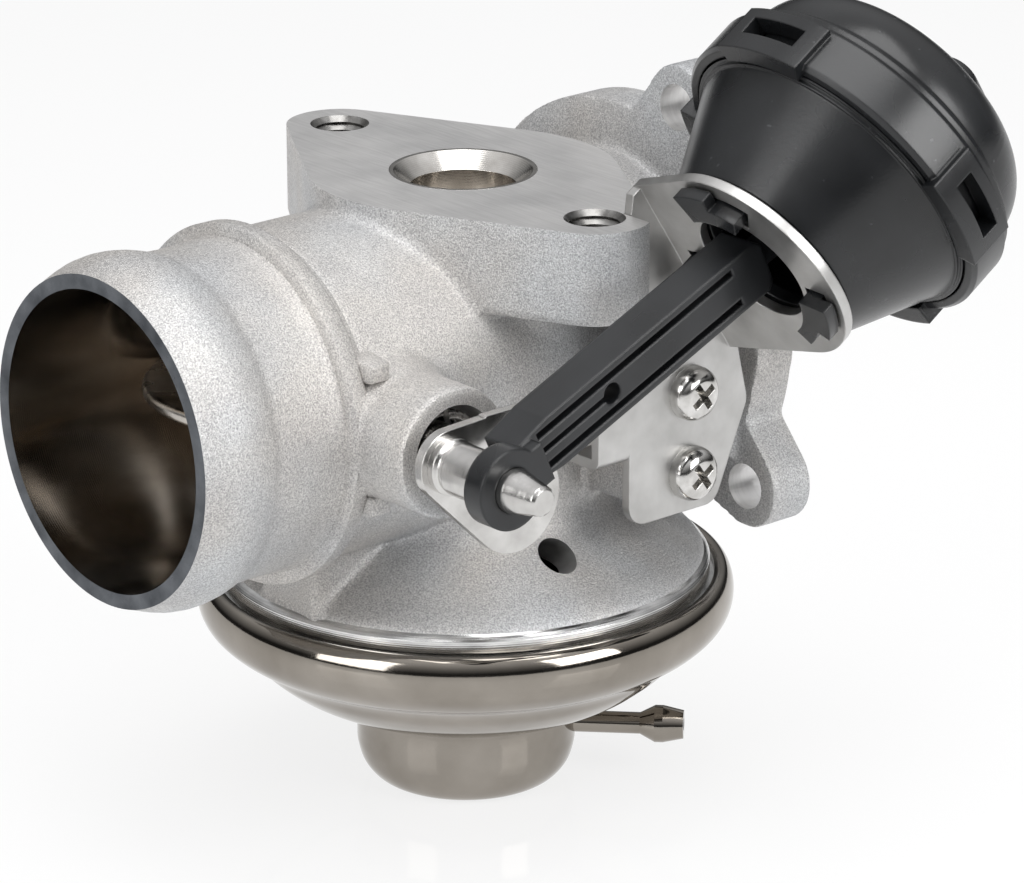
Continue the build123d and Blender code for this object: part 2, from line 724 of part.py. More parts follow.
with BuildPart() as flap_screws:
    with BuildSketch(Plane.XY.offset(TUBE_Z - SHAFT_R + 2 * SCREW_FIT)):
        with Locations((-FLAP_SCREW_X, SHAFT_Y), (FLAP_SCREW_X, SHAFT_Y)):
            Circle(M3_R - SCREW_FIT)
    extrude(amount=SHAFT_R + FLAP_THICK - 2 * SCREW_FIT)
    with BuildSketch(Plane.XY.offset(TUBE_Z + FLAP_THICK)):
        with Locations((-FLAP_SCREW_X, SHAFT_Y), (FLAP_SCREW_X, SHAFT_Y)):
            Circle(SCREW_HEAD_R)
    extrude(amount=SCREW_HEAD_H)
    fillet(flap_screws.faces().sort_by(Axis.Z)[-2:].edges(), SCREW_HEAD_H * 0.55)
    with BuildSketch(Plane.XY.offset(TUBE_Z + FLAP_THICK + SCREW_HEAD_H)):
        with Locations((-FLAP_SCREW_X, SHAFT_Y), (FLAP_SCREW_X, SHAFT_Y)):
            Rectangle(2 * SCREW_HEAD_H, SCREW_SLOT)
            Rectangle(SCREW_SLOT, 2 * SCREW_HEAD_H)
    extrude(amount=-SCREW_HEAD_H * 0.55, mode=Mode.SUBTRACT)
save(flap_screws, "flap_screws")


def bush(x, length):
    """Plain bearing bush round the shaft."""
    with BuildPart() as sleeve:
        with BuildSketch(across(x)):
            with Locations((SHAFT_Y, TUBE_Z)):
                Circle(BUSH_R)
                Circle(SHAFT_R + RUN_FIT, mode=Mode.SUBTRACT)
        extrude(amount=length)
    return sleeve


pocket_x = BOSS_X - POCKET_DEEP
bush_len = 5.0
lever_bush = bush(pocket_x - 0.8 - bush_len, bush_len)
save(lever_bush, "lever_bush")
blind_bush = bush(BLIND_X + 3.5, bush_len)
save(blind_bush, "blind_bush")

with BuildPart() as shaft_seal:
    with BuildSketch(across(pocket_x - 0.8)):
        with Locations((SHAFT_Y, TUBE_Z)):
            Circle(BUSH_R)
            Circle(SHAFT_R + RUN_FIT, mode=Mode.SUBTRACT)
    extrude(amount=1.6)
    chamfer(shaft_seal.faces().sort_by(Axis.X)[-1].edges().sort_by(SortBy.RADIUS)[-1], 0.5)
save(shaft_seal, "shaft_seal")

with BuildPart() as shaft_plug:
    with BuildSketch(across(BLIND_X)):
        with Locations((SHAFT_Y, TUBE_Z)):
            Circle(BUSH_R)
    extrude(amount=3.0)
    with BuildSketch(across(BLIND_X)):
        with Locations((SHAFT_Y, TUBE_Z)):
            Circle(BUSH_R - 1.2)
    extrude(amount=2.0, mode=Mode.SUBTRACT)
save(shaft_plug, "shaft_plug")

# ---- lever, crank pin and return spring ----------------------------------------------------
with BuildPart() as lever_plate:
    with BuildSketch(across(LEVER_X)) as plate:
        with BuildSketch(mode=Mode.PRIVATE) as lobe:
            with Locations((PIN_Y, PIN_Z)):
                Circle(PIN_HEAD_R)
            with Locations((LOBE_Y, LOBE_Z)):
                Circle(LOBE_R)
            with Locations((LOBE_Y, ARM_TOP_Z - 5)):
                Circle(5)
            make_hull()
        add(lobe.sketch)
        with BuildLine():
            Polyline(
                (SHAFT_Y, ARM_TOP_Z),
                (ARM_END_Y, ARM_TOP_Z),
                (ARM_END_Y, ARM_TOP_Z - ARM_DEEP),
                (SHAFT_Y, ARM_TOP_Z - ARM_DEEP),
                (SHAFT_Y, ARM_TOP_Z),
            )
        make_face()
        with BuildSketch(mode=Mode.PRIVATE) as flats:
            with Locations((SHAFT_Y, TUBE_Z)):
                Circle(TAIL_R + SEAT_FIT)
                Rectangle(2 * SHAFT_R, TAIL_FLAT + 2 * SEAT_FIT, mode=Mode.INTERSECT)
        add(flats.sketch, mode=Mode.SUBTRACT)
        with Locations((PIN_Y, PIN_Z)):
            Circle(PIN_R - 1 + SEAT_FIT, mode=Mode.SUBTRACT)
    extrude(amount=SHEET)
    # arm end bent towards the casting: it holds the spring leg
    with BuildSketch(across(TAB_X)):
        with Locations((ARM_END_Y - SHEET / 2, ARM_TOP_Z - ARM_DEEP / 2)):
            Rectangle(SHEET, ARM_DEEP)
    extrude(amount=LEVER_X - TAB_X + SHEET)
    bend = lever_plate.edges().filter_by(Axis.Z).group_by(Axis.X)[-1].sort_by(Axis.Y)[-1]
    fillet(bend, SHEET * 0.9)
save(lever_plate, "lever_plate")

with BuildPart() as crank_pin:
    with BuildSketch(Plane.XZ):
        with BuildLine():
            cone_x = PIN_END_X - PIN_TAPER
            front = LEVER_X + SHEET
            Polyline(
                (LEVER_X, 0),
                (LEVER_X, PIN_R - 1),
                (front, PIN_R - 1),
                (front, PIN_R + 0.3),
                (front + 1.1, PIN_R + 0.3),
                (front + 1.4, PIN_R - 0.25),
                (front + 2.2, PIN_R - 0.25),
                (front + 2.4, PIN_R),
                (EYE_BACK_X - 2 * RUN_FIT, PIN_R),
                (EYE_BACK_X - 2 * RUN_FIT, PIN_NECK_R),
                (cone_x, PIN_NECK_R),
                (PIN_END_X - 0.4, PIN_TIP_R),
                (PIN_END_X, PIN_TIP_R - 0.4),
                (PIN_END_X, 0),
                (LEVER_X, 0),
            )
        make_face()
    revolve(axis=Axis.X)
crank_pin.part = Pos(0, PIN_Y, PIN_Z) * crank_pin.part
save(crank_pin, "crank_pin")

torsion = coil(TORSION_R, TORSION_WIRE, 0, POCKET_DEEP - 2.2, 3)
torsion.part = Plane(origin=(pocket_x + 1.2, SHAFT_Y, TUBE_Z), z_dir=(1, 0, 0)) * torsion.part
save(torsion, "lever_spring")

# ---- link rod ------------------------------------------------------------------------------
rod_side = Plane(origin=(ROD_X, PIN_Y, PIN_Z), x_dir=rod_axis, z_dir=(1, 0, 0))
with BuildPart() as link_rod:
    half = ROD_THICK / 2
    with BuildSketch(rod_side.offset(EYE_BACK_X - ROD_X)):
        Circle(EYE_R)
        with Locations((EYE_TAB / 2, 0)):
            Rectangle(EYE_TAB, 2 * EYE_TAB_HALF)
    extrude(amount=EYE_WIDE)
    shank_start = PIN_R + CURVE_GAP
    shank_end = rod_len - ROD_NECK_LEN
    with BuildSketch(rod_side.offset(-half)):
        with BuildLine():
            Polyline(
                (shank_start, -ROD_WIDE / 2 + 0.8),
                (shank_start + SHANK_TAPER, -ROD_WIDE / 2),
                (shank_end - 1, -ROD_WIDE / 2),
                (shank_end, -ROD_WIDE / 2 + 1),
                (shank_end, ROD_WIDE / 2 - 1),
                (shank_end - 1, ROD_WIDE / 2),
                (shank_start + SHANK_TAPER, ROD_WIDE / 2),
                (shank_start, ROD_WIDE / 2 - 0.8),
                (shank_start, -ROD_WIDE / 2 + 0.8),
            )
        make_face()
    extrude(amount=ROD_THICK)
    # long grooves along both sides that leave the rod as an H
    groove_start = EYE_R + 2
    groove_end = shank_end - 6
    for face_at, way in ((half, -1), (-half, 1)):
        with BuildSketch(rod_side.offset(face_at)):
            groove_mid = (groove_start + groove_end) / 2
            off_centre = ROD_WIDE / 2 - 1.0 - ROD_GROOVE / 4
            with Locations((groove_mid, -off_centre), (groove_mid, off_centre)):
                Rectangle(groove_end - groove_start, ROD_GROOVE / 2)
        extrude(amount=way * ROD_GROOVE, mode=Mode.SUBTRACT)
    # keyhole through the web
    with BuildSketch(rod_side.offset(-half)):
        with Locations((KEY_HOLE_AT, 0)):
            Circle(KEY_HOLE_R)
        with Locations(((KEY_HOLE_AT + groove_start) / 2, 0)):
            Rectangle(KEY_HOLE_AT - groove_start, KEY_SLOT)
    extrude(amount=ROD_THICK, mode=Mode.SUBTRACT)
    with BuildSketch(rod_side.offset(EYE_BACK_X - ROD_X)):
        Circle(PIN_NECK_R + RUN_FIT)
    extrude(amount=EYE_WIDE, mode=Mode.SUBTRACT)
    # neck and ball inside the actuator
    with BuildSketch(Plane(origin=rod_side.from_local_coords(Vector(shank_end - 1, 0, 0)), z_dir=rod_axis)):
        Circle(NECK_IN_R)
    extrude(amount=rod_len - shank_end)
    with Locations(rod_side.from_local_coords(Vector(rod_len, 0, 0))):
        Sphere(BALL_R)
save(link_rod, "link_rod")

# ---- actuator bracket and its screws -------------------------------------------------------
bend_x = PLATE_X - CAP_X

def ring_slice(inner, outer, start, arc):
    """Sector of a ring, as a sketch to be added to or cut from another."""
    with BuildSketch(mode=Mode.PRIVATE) as slice_sketch:
        with BuildLine():
            inside = CenterArc((0, 0), inner, start, arc)
            outside = CenterArc((0, 0), outer, start, arc)
            Line(inside @ 0, outside @ 0)
            Line(inside @ 1, outside @ 1)
        make_face()
    return slice_sketch.sketch


def cap_point(down, s):
    """Y and Z of the point at `down` below the actuator axis and s along it."""
    spot = along_cap(s).from_local_coords(Vector(0, down, 0))
    return (spot.Y, spot.Z)


with BuildPart() as actuator_bracket:
    # base plate against the casting pad
    with BuildSketch(across(PLATE_X - SHEET)) as base:
        with BuildLine():
            Polyline(
                (PLATE_FRONT_Y, PLATE_LOW_Z),
                (PLATE_FOOT_Y, PLATE_LOW_Z),
                (PLATE_NOSE_Y, PLATE_NOSE_Z),
                cap_point(BEND_LOW, 0),
                cap_point(-BEND_HIGH, 0),
                cap_point(-BEND_HIGH, -2 * SHEET),
                (PLATE_FRONT_Y, PLATE_TOP_Z),
                (PLATE_FRONT_Y, PLATE_LOW_Z),
            )
        make_face()
        fillet(base.vertices().sort_by(Axis.Y)[:3], PLATE_CORNER)
        with Locations(*screw_spots):
            Circle(M4_R + 0.2, mode=Mode.SUBTRACT)
    extrude(amount=SHEET)
    # ring plate square to the actuator axis
    with BuildSketch(along_cap(0)):
        with BuildLine():
            Polyline(
                (bend_x - SHEET, -BEND_HIGH),
                (bend_x, -BEND_HIGH),
                (bend_x, BEND_LOW),
                (bend_x - SHEET, BEND_LOW),
                (bend_x - SHEET, -BEND_HIGH),
            )
        make_face()
        Circle(PLATE_RING_R)
        make_hull()
        Circle(PLATE_HOLE_R, mode=Mode.SUBTRACT)
        for angle in HOOK_ANGLES:
            slot_arc = HOOK_ARC + SLOT_MORE
            slot = ring_slice(HOOK_IN_R - SLOT_SPARE, HOOK_OUT_R + SLOT_SPARE, angle - slot_arc / 2, slot_arc)
            add(slot, mode=Mode.SUBTRACT)
    extrude(amount=-SHEET)
    # tongue that carries on from the plate's front edge, its lower edge folded in
    with BuildSketch(across(PLATE_X - SHEET)):
        with BuildLine():
            tongue_y = PLATE_FRONT_Y - TONGUE_LEN
            Polyline(
                (PLATE_FRONT_Y + 1, TONGUE_TOP_Z),
                (tongue_y, TONGUE_TOP_Z),
                (tongue_y, TONGUE_LOW_Z),
                (PLATE_FRONT_Y + 1, TONGUE_LOW_Z),
                (PLATE_FRONT_Y + 1, TONGUE_TOP_Z),
            )
        make_face()
    extrude(amount=SHEET)
    with BuildSketch(across(PLATE_X - TONGUE_FOLD)):
        with Locations((PLATE_FRONT_Y - TONGUE_LEN / 2, TONGUE_LOW_Z + SHEET / 2)):
            Rectangle(TONGUE_LEN, SHEET)
    extrude(amount=TONGUE_FOLD)
    low_edges = actuator_bracket.edges().filter_by(Axis.Y)
    fold = low_edges.filter_by_position(Axis.Z, TONGUE_LOW_Z - 0.1, TONGUE_LOW_Z + 0.1)
    fillet(fold.sort_by(Axis.X)[-1], SHEET)
save(actuator_bracket, "actuator_bracket")

with BuildPart() as bracket_screws:
    with BuildSketch(across(PLATE_X)):
        with Locations(*screw_spots):
            Circle(PAN_R)
    extrude(amount=PAN_H)
    fillet(bracket_screws.faces().sort_by(Axis.X)[-2:].edges(), PAN_H * 0.75)
    with BuildSketch(across(PLATE_X + PAN_H)):
        with Locations(*screw_spots):
            with Locations(Rotation(0, 0, 35)):
                Rectangle(4.4, 1.1)
                Rectangle(1.1, 4.4)
    extrude(amount=-1.9, taper=12, mode=Mode.SUBTRACT)
    with BuildSketch(across(PLATE_X)):
        with Locations(*screw_spots):
            Circle(M4_R)
    extrude(amount=-SCREW_DEEP)
save(bracket_screws, "bracket_screws")

# ---- vacuum actuator -----------------------------------------------------------------------
clip_end = CLIP_START + CLIP_LEN
shell_face = CONE_START + SHELL_WALL
with BuildPart() as actuator_housing:
    with BuildSketch(Plane.XZ):
        with BuildLine():
            Polyline(
                (CAP_DOOR_R, CONE_START),
                (CONE_FRONT_R, CONE_START),
                (cone_back_r, CONE_END),
                (step_r, CONE_END),
                (step_r, CONE_END + 0.6),
                (SHELL_R, CONE_END + 0.6),
                (SHELL_R, SHELL_END),
                (SHELL_R - SHELL_WALL, SHELL_END),
                (SHELL_R - SHELL_WALL, CONE_END + SHELL_WALL),
                (cone_back_r - SHELL_WALL, CONE_END),
                (CONE_FRONT_R - SHELL_WALL, shell_face),
                (CAP_DOOR_R, shell_face),
                (CAP_DOOR_R, CONE_START),
            )
        make_face()
    revolve(axis=Axis.Z)
    # bayonet hooks that grip the bracket ring
    for angle in HOOK_ANGLES:
        with BuildSketch(Plane.XY.offset(CONE_START)):
            add(ring_slice(HOOK_IN_R, HOOK_OUT_R, angle - HOOK_ARC / 2, HOOK_ARC))
        extrude(amount=-(CONE_START + SHEET + 2.2))
        with BuildSketch(Plane.XY.offset(-SHEET - CURVE_GAP)):
            add(ring_slice(HOOK_IN_R, HOOK_LIP_R, angle - HOOK_ARC / 2, HOOK_ARC * 0.55))
        extrude(amount=-1.9)
actuator_housing.part = cap_plane * actuator_housing.part
save(actuator_housing, "actuator_housing")


with BuildPart() as actuator_cover:
    with BuildSketch(Plane.XZ):
        with BuildLine():
            dome_edge = (dome_r - 1.6, DOME_END - DOME_ROUND)
            dome_flat = (dome_r - DOME_ROUND - 1.0, DOME_END)
            wall = SHELL_WALL
            inner_edge = (dome_edge[0] - wall, dome_edge[1] - 1)
            inner_flat = (dome_flat[0] - 0.6, DOME_END - wall)
            seat_s = SHELL_END + ROLL_SHEET
            socket_r = SHELL_R + CURVE_GAP
            Polyline(
                (socket_r, CLIP_START),
                (clip_r - 0.6, CLIP_START),
                (clip_r, CLIP_START + 0.6),
                (clip_r, clip_end - 0.8),
                (dome_r, clip_end),
                (dome_r, clip_end + 0.8),
                dome_edge,
            )
            RadiusArc(dome_edge, dome_flat, -DOME_ROUND)
            Polyline(dome_flat, (0, DOME_END), (0, inner_flat[1]), inner_flat)
            RadiusArc(inner_flat, inner_edge, DOME_ROUND)
            Polyline(inner_edge, (dome_r - wall, seat_s), (socket_r, seat_s), (socket_r, CLIP_START))
        make_face()
    revolve(axis=Axis.Z)
    # latch lugs with their windows
    for angle in LATCH_ANGLES:
        with BuildSketch(Plane.XY.offset(CLIP_START - LATCH_PROUD)):
            add(ring_slice(socket_r, clip_r + LATCH_PROUD, angle - LATCH_ARC / 2, LATCH_ARC))
        extrude(amount=CLIP_LEN)
        with BuildSketch(Plane.XY.offset(CLIP_START + WINDOW_EDGE)):
            add(ring_slice(SHELL_R - 1, clip_r + 2 * LATCH_PROUD, angle - WINDOW_ARC / 2, WINDOW_ARC))
        extrude(amount=WINDOW_HIGH, mode=Mode.SUBTRACT)
    # vacuum port block across the back, hollowed again over the spring
    with BuildSketch(Plane.XY.offset(PORT_FOOT)):
        with Locations((PORT_X, (PORT_REACH - PORT_BACK) / 2)):
            RectangleRounded(PORT_WIDE, PORT_REACH + PORT_BACK, PORT_ROUND)
    extrude(amount=PORT_TOP - PORT_FOOT)
    fillet(actuator_cover.faces().sort_by(Axis.Z)[-1].edges(), PORT_ROUND / 2)
    with BuildSketch(Plane.XY.offset(seat_s)):
        Circle(cap_spring_r + 2 * CAP_WIRE)
    extrude(amount=inner_flat[1] - seat_s, mode=Mode.SUBTRACT)
    with BuildSketch(Plane.XZ.offset(-PORT_REACH - 1)):
        with Locations((PORT_X, PORT_AXIS)):
            Circle(PORT_R)
    extrude(amount=PORT_REACH - PORT_R, mode=Mode.SUBTRACT)
    with BuildSketch(Plane.XY.offset(PORT_AXIS)):
        with Locations((PORT_X, 2 * PORT_R)):
            Circle(PORT_R / 2)
    extrude(amount=inner_flat[1] - PORT_AXIS - 1, mode=Mode.SUBTRACT)
actuator_cover.part = cap_plane * actuator_cover.part
save(actuator_cover, "actuator_cover")

# rolling diaphragm clamped between the two shells
with BuildPart() as actuator_diaphragm:
    with BuildSketch(Plane.XZ):
        with BuildLine():
            roll_s = SHELL_END - ROLL_DEEP
            leg_out = SHELL_R - SHELL_WALL - ROLL_SHEET
            leg_out_in = leg_out - ROLL_SHEET
            leg_in = piston_r + CURVE_GAP
            leg_in_out = leg_in + ROLL_SHEET
            roll_r = (leg_out_in + leg_in_out) / 2
            grip_r = SHELL_R - 0.1
            Polyline((leg_out_in, seat_s), (grip_r, seat_s), (grip_r, SHELL_END))
            Polyline((grip_r, SHELL_END), (leg_out, SHELL_END), (leg_out, roll_s))
            ThreePointArc((leg_out, roll_s), (roll_r, roll_s - ROLL_ROUND), (leg_in, roll_s))
            lip_s = roll_s + ROLL_ROUND
            Polyline((leg_in, roll_s), (leg_in, lip_s), (leg_in_out, lip_s), (leg_in_out, roll_s))
            inner_low = (roll_r, roll_s - ROLL_ROUND + ROLL_SHEET)
            ThreePointArc((leg_in_out, roll_s), inner_low, (leg_out_in, roll_s))
            Line((leg_out_in, roll_s), (leg_out_in, seat_s))
        make_face()
    revolve(axis=Axis.Z)
actuator_diaphragm.part = cap_plane * actuator_diaphragm.part
save(actuator_diaphragm, "actuator_diaphragm")

# piston with the socket that holds the rod's ball
piston_s = ROD_JOINT_S + BALL_R + CURVE_GAP
with BuildPart() as actuator_piston:
    with BuildSketch(Plane.XZ):
        with BuildLine():
            Polyline(
                (0, piston_s),
                (SOCKET_R, piston_s),
                (SOCKET_R, piston_s - SOCKET_DEEP),
                (SOCKET_R + 1.3, piston_s - SOCKET_DEEP),
                (SOCKET_R + 1.3, piston_s),
                (piston_r - 1, piston_s),
                (piston_r, piston_s + 1),
                (piston_r, piston_s + PISTON_LEN),
                (piston_r - PISTON_SKIRT, piston_s + PISTON_LEN),
                (piston_r - PISTON_SKIRT, piston_s + 2),
                (0, piston_s + 2),
                (0, piston_s),
            )
        make_face()
    revolve(axis=Axis.Z)
actuator_piston.part = cap_plane * actuator_piston.part
save(actuator_piston, "actuator_piston")

actuator_spring = coil(cap_spring_r, CAP_WIRE, piston_s + 2, DOME_END - SHELL_WALL, CAP_TURNS)
actuator_spring.part = cap_plane * actuator_spring.part
save(actuator_spring, "actuator_spring")

# ---- seal in the manifold face -------------------------------------------------------------
with BuildPart() as manifold_seal:
    with BuildSketch(Plane.YZ):
        with Locations((flange_back_y - SEAL_CORD, TUBE_Z + SEAL_R)):
            Circle(SEAL_CORD - 0.1)
    revolve(axis=tube_axis)
save(manifold_seal, "manifold_seal")
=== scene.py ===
from math import cos, pi, radians, sin
import bmesh
import bpy
from mathutils import Matrix, Vector


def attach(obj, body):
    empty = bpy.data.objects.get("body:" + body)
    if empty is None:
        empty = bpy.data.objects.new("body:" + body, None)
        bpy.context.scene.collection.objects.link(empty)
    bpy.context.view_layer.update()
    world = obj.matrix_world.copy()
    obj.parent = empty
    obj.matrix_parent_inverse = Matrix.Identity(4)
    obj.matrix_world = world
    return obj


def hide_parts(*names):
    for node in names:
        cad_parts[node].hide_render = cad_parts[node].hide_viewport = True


# EGR valve: finishes for the CAD nodes, and the cast and pressed pieces that need soft shapes.
# Shapes are written in millimetres, and finished() brings them to metres.

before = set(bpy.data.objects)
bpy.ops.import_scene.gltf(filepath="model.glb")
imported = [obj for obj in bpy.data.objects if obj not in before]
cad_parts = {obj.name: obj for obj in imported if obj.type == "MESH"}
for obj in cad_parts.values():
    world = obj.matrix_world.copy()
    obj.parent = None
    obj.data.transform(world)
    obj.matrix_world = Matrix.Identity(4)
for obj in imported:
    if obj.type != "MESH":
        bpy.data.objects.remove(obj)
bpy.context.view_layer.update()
scene = bpy.context.scene
scene.view_settings.view_transform = "Standard"
MM = 0.001


# ---- finishes -------------------------------------------------------------------------------
class Finish:
    """One procedural material, patterned on the piece's own place in metres."""

    def __init__(self, name, colour, metallic=0.0, roughness=0.5):
        self.material = bpy.data.materials.new(name)
        self.material.use_nodes = True
        self.tree = self.material.node_tree
        self.shader = self.tree.nodes["Principled BSDF"]
        self.shader.inputs["Base Color"].default_value = (*colour, 1)
        self.shader.inputs["Metallic"].default_value = metallic
        self.shader.inputs["Roughness"].default_value = roughness
        self.place = self.tree.nodes.new("ShaderNodeTexCoord").outputs["Object"]
        self.normal = None

    def link(self, a, b):
        self.tree.links.new(a, b)

    def noise(self, size, detail=2.0, stretch=(1, 1, 1), rough=0.5):
        """Noise whose cells are about size millimetres, drawn out along the stretched axes."""
        where = self.tree.nodes.new("ShaderNodeMapping")
        where.inputs["Scale"].default_value = [1000.0 / size / s for s in stretch]
        self.link(self.place, where.inputs["Vector"])
        node = self.tree.nodes.new("ShaderNodeTexNoise")
        node.inputs["Scale"].default_value = 1.0
        node.inputs["Detail"].default_value = detail
        node.inputs["Roughness"].default_value = rough
        self.link(where.outputs["Vector"], node.inputs["Vector"])
        return node.outputs["Fac"]

    def tool_marks(self, pitch, way):
        """Marks of the tool, pitch millimetres apart along an axis."""
        where = self.tree.nodes.new("ShaderNodeMapping")
        where.inputs["Scale"].default_value = [1000.0 / pitch] * 3
        self.link(self.place, where.inputs["Vector"])
        node = self.tree.nodes.new("ShaderNodeTexWave")
        node.wave_type = "BANDS"
        node.bands_direction = way
        node.inputs["Scale"].default_value = pi / 10
        node.inputs["Distortion"].default_value = 0.4
        node.inputs["Detail"].default_value = 1.5
        self.link(where.outputs["Vector"], node.inputs["Vector"])
        return node.outputs["Fac"]

    def between(self, factor, low, high, out_low, out_high):
        """Stretch the factor's run from low to high over the other two values."""
        node = self.tree.nodes.new("ShaderNodeMapRange")
        node.inputs["From Min"].default_value = low
        node.inputs["From Max"].default_value = high
        node.inputs["To Min"].default_value = out_low
        node.inputs["To Max"].default_value = out_high
        self.link(factor, node.inputs["Value"])
        return node.outputs["Result"]

    def tint(self, factor, dark, light, low, high):
        """Colour that goes from dark to light while the factor goes from low to high."""
        node = self.tree.nodes.new("ShaderNodeValToRGB")
        node.color_ramp.elements[0].position = low
        node.color_ramp.elements[0].color = (*dark, 1)
        node.color_ramp.elements[1].position = high
        node.color_ramp.elements[1].color = (*light, 1)
        self.link(factor, node.inputs["Fac"])
        return node.outputs["Color"]

    def mixed(self, kind, a, b):
        """Colour a with all of b multiplied in or added."""
        node = self.tree.nodes.new("ShaderNodeMix")
        node.data_type = "RGBA"
        node.blend_type = kind
        node.inputs["Factor"].default_value = 1.0
        self.link(a, node.inputs["A"])
        self.link(b, node.inputs["B"])
        return node.outputs["Result"]

    def colour(self, output):
        self.link(output, self.shader.inputs["Base Color"])

    def gloss(self, factor, low, high, a, b):
        """Roughness from a to b while the factor goes from low to high."""
        self.link(self.between(factor, low, high, a, b), self.shader.inputs["Roughness"])

    def bump(self, height, depth, strength):
        """Relief of depth millimetres on top of the bumps already there."""
        node = self.tree.nodes.new("ShaderNodeBump")
        node.inputs["Distance"].default_value = depth * MM
        node.inputs["Strength"].default_value = strength
        self.link(height, node.inputs["Height"])
        if self.normal is not None:
            self.link(self.normal, node.inputs["Normal"])
        self.normal = node.outputs["Normal"]
        self.link(self.normal, self.shader.inputs["Normal"])

    def soft_edges(self, radius):
        """Edges look broken by radius millimetres."""
        node = self.tree.nodes.new("ShaderNodeBevel")
        node.samples = 6
        node.inputs["Radius"].default_value = radius * MM
        self.normal = node.outputs["Normal"]
        self.link(self.normal, self.shader.inputs["Normal"])


def cast_aluminium():
    f = Finish("cast_aluminium", (0.5, 0.5, 0.5), metallic=0.62, roughness=0.56)
    grain = f.noise(0.23, detail=2.5, rough=0.62)
    glitter = f.noise(0.5, detail=1.0)
    patches = f.noise(7.0, detail=3.0)
    stain = f.noise(26.0, detail=2.0)
    fine = f.tint(grain, (0.36, 0.36, 0.365), (0.70, 0.70, 0.695), 0.36, 0.64)
    broad = f.tint(patches, (0.90, 0.90, 0.905), (1.0, 1.0, 0.995), 0.3, 0.7)
    warm = f.tint(stain, (1.0, 0.965, 0.93), (0.965, 0.98, 1.0), 0.38, 0.62)
    f.colour(f.mixed("MULTIPLY", f.mixed("MULTIPLY", fine, broad), warm))
    f.gloss(glitter, 0.4, 0.72, 0.62, 0.36)
    f.bump(patches, 0.08, 0.3)
    f.bump(grain, 0.11, 0.95)
    return f.material


def milled_aluminium():
    f = Finish("milled_aluminium", (0.74, 0.735, 0.73), metallic=0.9, roughness=0.4)
    strokes = f.noise(0.5, detail=3.0, stretch=(16, 1, 4))
    clouds = f.noise(12.0, detail=4.0)
    marks = f.tint(strokes, (0.74, 0.735, 0.73), (0.86, 0.855, 0.85), 0.3, 0.7)
    cloud = f.tint(clouds, (0.92, 0.915, 0.91), (1.0, 1.0, 1.0), 0.3, 0.7)
    f.colour(f.mixed("MULTIPLY", marks, cloud))
    f.gloss(clouds, 0.3, 0.7, 0.46, 0.34)
    f.bump(strokes, 0.008, 0.5)
    return f.material


def turned_mouth():
    f = Finish("turned_mouth", (0.12, 0.13, 0.145), metallic=1.0, roughness=0.3)
    marks = f.noise(0.6, detail=3.0, stretch=(1, 12, 1))
    clouds = f.noise(5.0, detail=4.0)
    f.colour(f.tint(clouds, (0.05, 0.055, 0.063), (0.15, 0.16, 0.175), 0.3, 0.72))
    f.gloss(marks, 0.3, 0.7, 0.26, 0.42)
    f.bump(marks, 0.01, 0.5)
    return f.material


def bored_wall():
    f = Finish("bored_wall", (0.5, 0.47, 0.43), metallic=1.0, roughness=0.14)
    marks = f.tool_marks(0.35, way="Y")
    clouds = f.noise(9.0, detail=5.0, stretch=(1, 2.2, 1))
    soot = f.noise(26.0, detail=2.0)
    base = f.tint(clouds, (0.40, 0.365, 0.325), (0.68, 0.65, 0.61), 0.3, 0.7)
    shade = f.tint(soot, (0.70, 0.645, 0.585), (1.0, 1.0, 1.0), 0.35, 0.62)
    f.colour(f.mixed("MULTIPLY", base, shade))
    f.gloss(clouds, 0.3, 0.7, 0.11, 0.22)
    f.bump(marks, 0.006, 0.35)
    return f.material


def tapped_wall():
    f = Finish("tapped_wall", (0.3, 0.295, 0.285), metallic=1.0, roughness=0.3)
    oil = f.noise(2.0, detail=3.0)
    f.colour(f.tint(oil, (0.16, 0.155, 0.148), (0.38, 0.375, 0.365), 0.3, 0.7))
    f.gloss(oil, 0.3, 0.7, 0.22, 0.38)
    f.bump(oil, 0.01, 0.4)
    return f.material


def turned_rim():
    f = Finish("turned_rim", (0.72, 0.72, 0.715), metallic=1.0, roughness=0.2)
    marks = f.tool_marks(0.28, way="Z")
    clouds = f.noise(6.0, detail=2.0, stretch=(1, 1, 0.3))
    f.colour(f.tint(clouds, (0.52, 0.52, 0.52), (0.84, 0.84, 0.83), 0.3, 0.7))
    f.gloss(marks, 0.0, 1.0, 0.14, 0.26)
    f.bump(marks, 0.01, 0.5)
    return f.material


def nickel_plate():
    f = Finish("nickel_plate", (0.36, 0.33, 0.29), metallic=1.0, roughness=0.09)
    swirl = f.noise(5.0, detail=2.0)
    peel = f.noise(0.7, detail=2.0)
    spots = f.noise(14.0, detail=4.0)
    f.colour(f.tint(spots, (0.235, 0.212, 0.184), (0.345, 0.317, 0.282), 0.3, 0.7))
    f.gloss(spots, 0.3, 0.7, 0.05, 0.12)
    f.bump(swirl, 0.045, 0.25)
    f.bump(peel, 0.006, 0.5)
    return f.material


def bright_steel():
    f = Finish("bright_steel", (0.74, 0.725, 0.7), metallic=1.0, roughness=0.2)
    f.soft_edges(0.25)
    scratch = f.noise(0.35, detail=2.0, stretch=(1, 9, 9))
    clouds = f.noise(5.0, detail=3.0)
    f.colour(f.tint(clouds, (0.50, 0.49, 0.475), (0.68, 0.67, 0.655), 0.3, 0.7))
    f.gloss(scratch, 0.3, 0.7, 0.14, 0.27)
    f.bump(scratch, 0.006, 0.6)
    return f.material


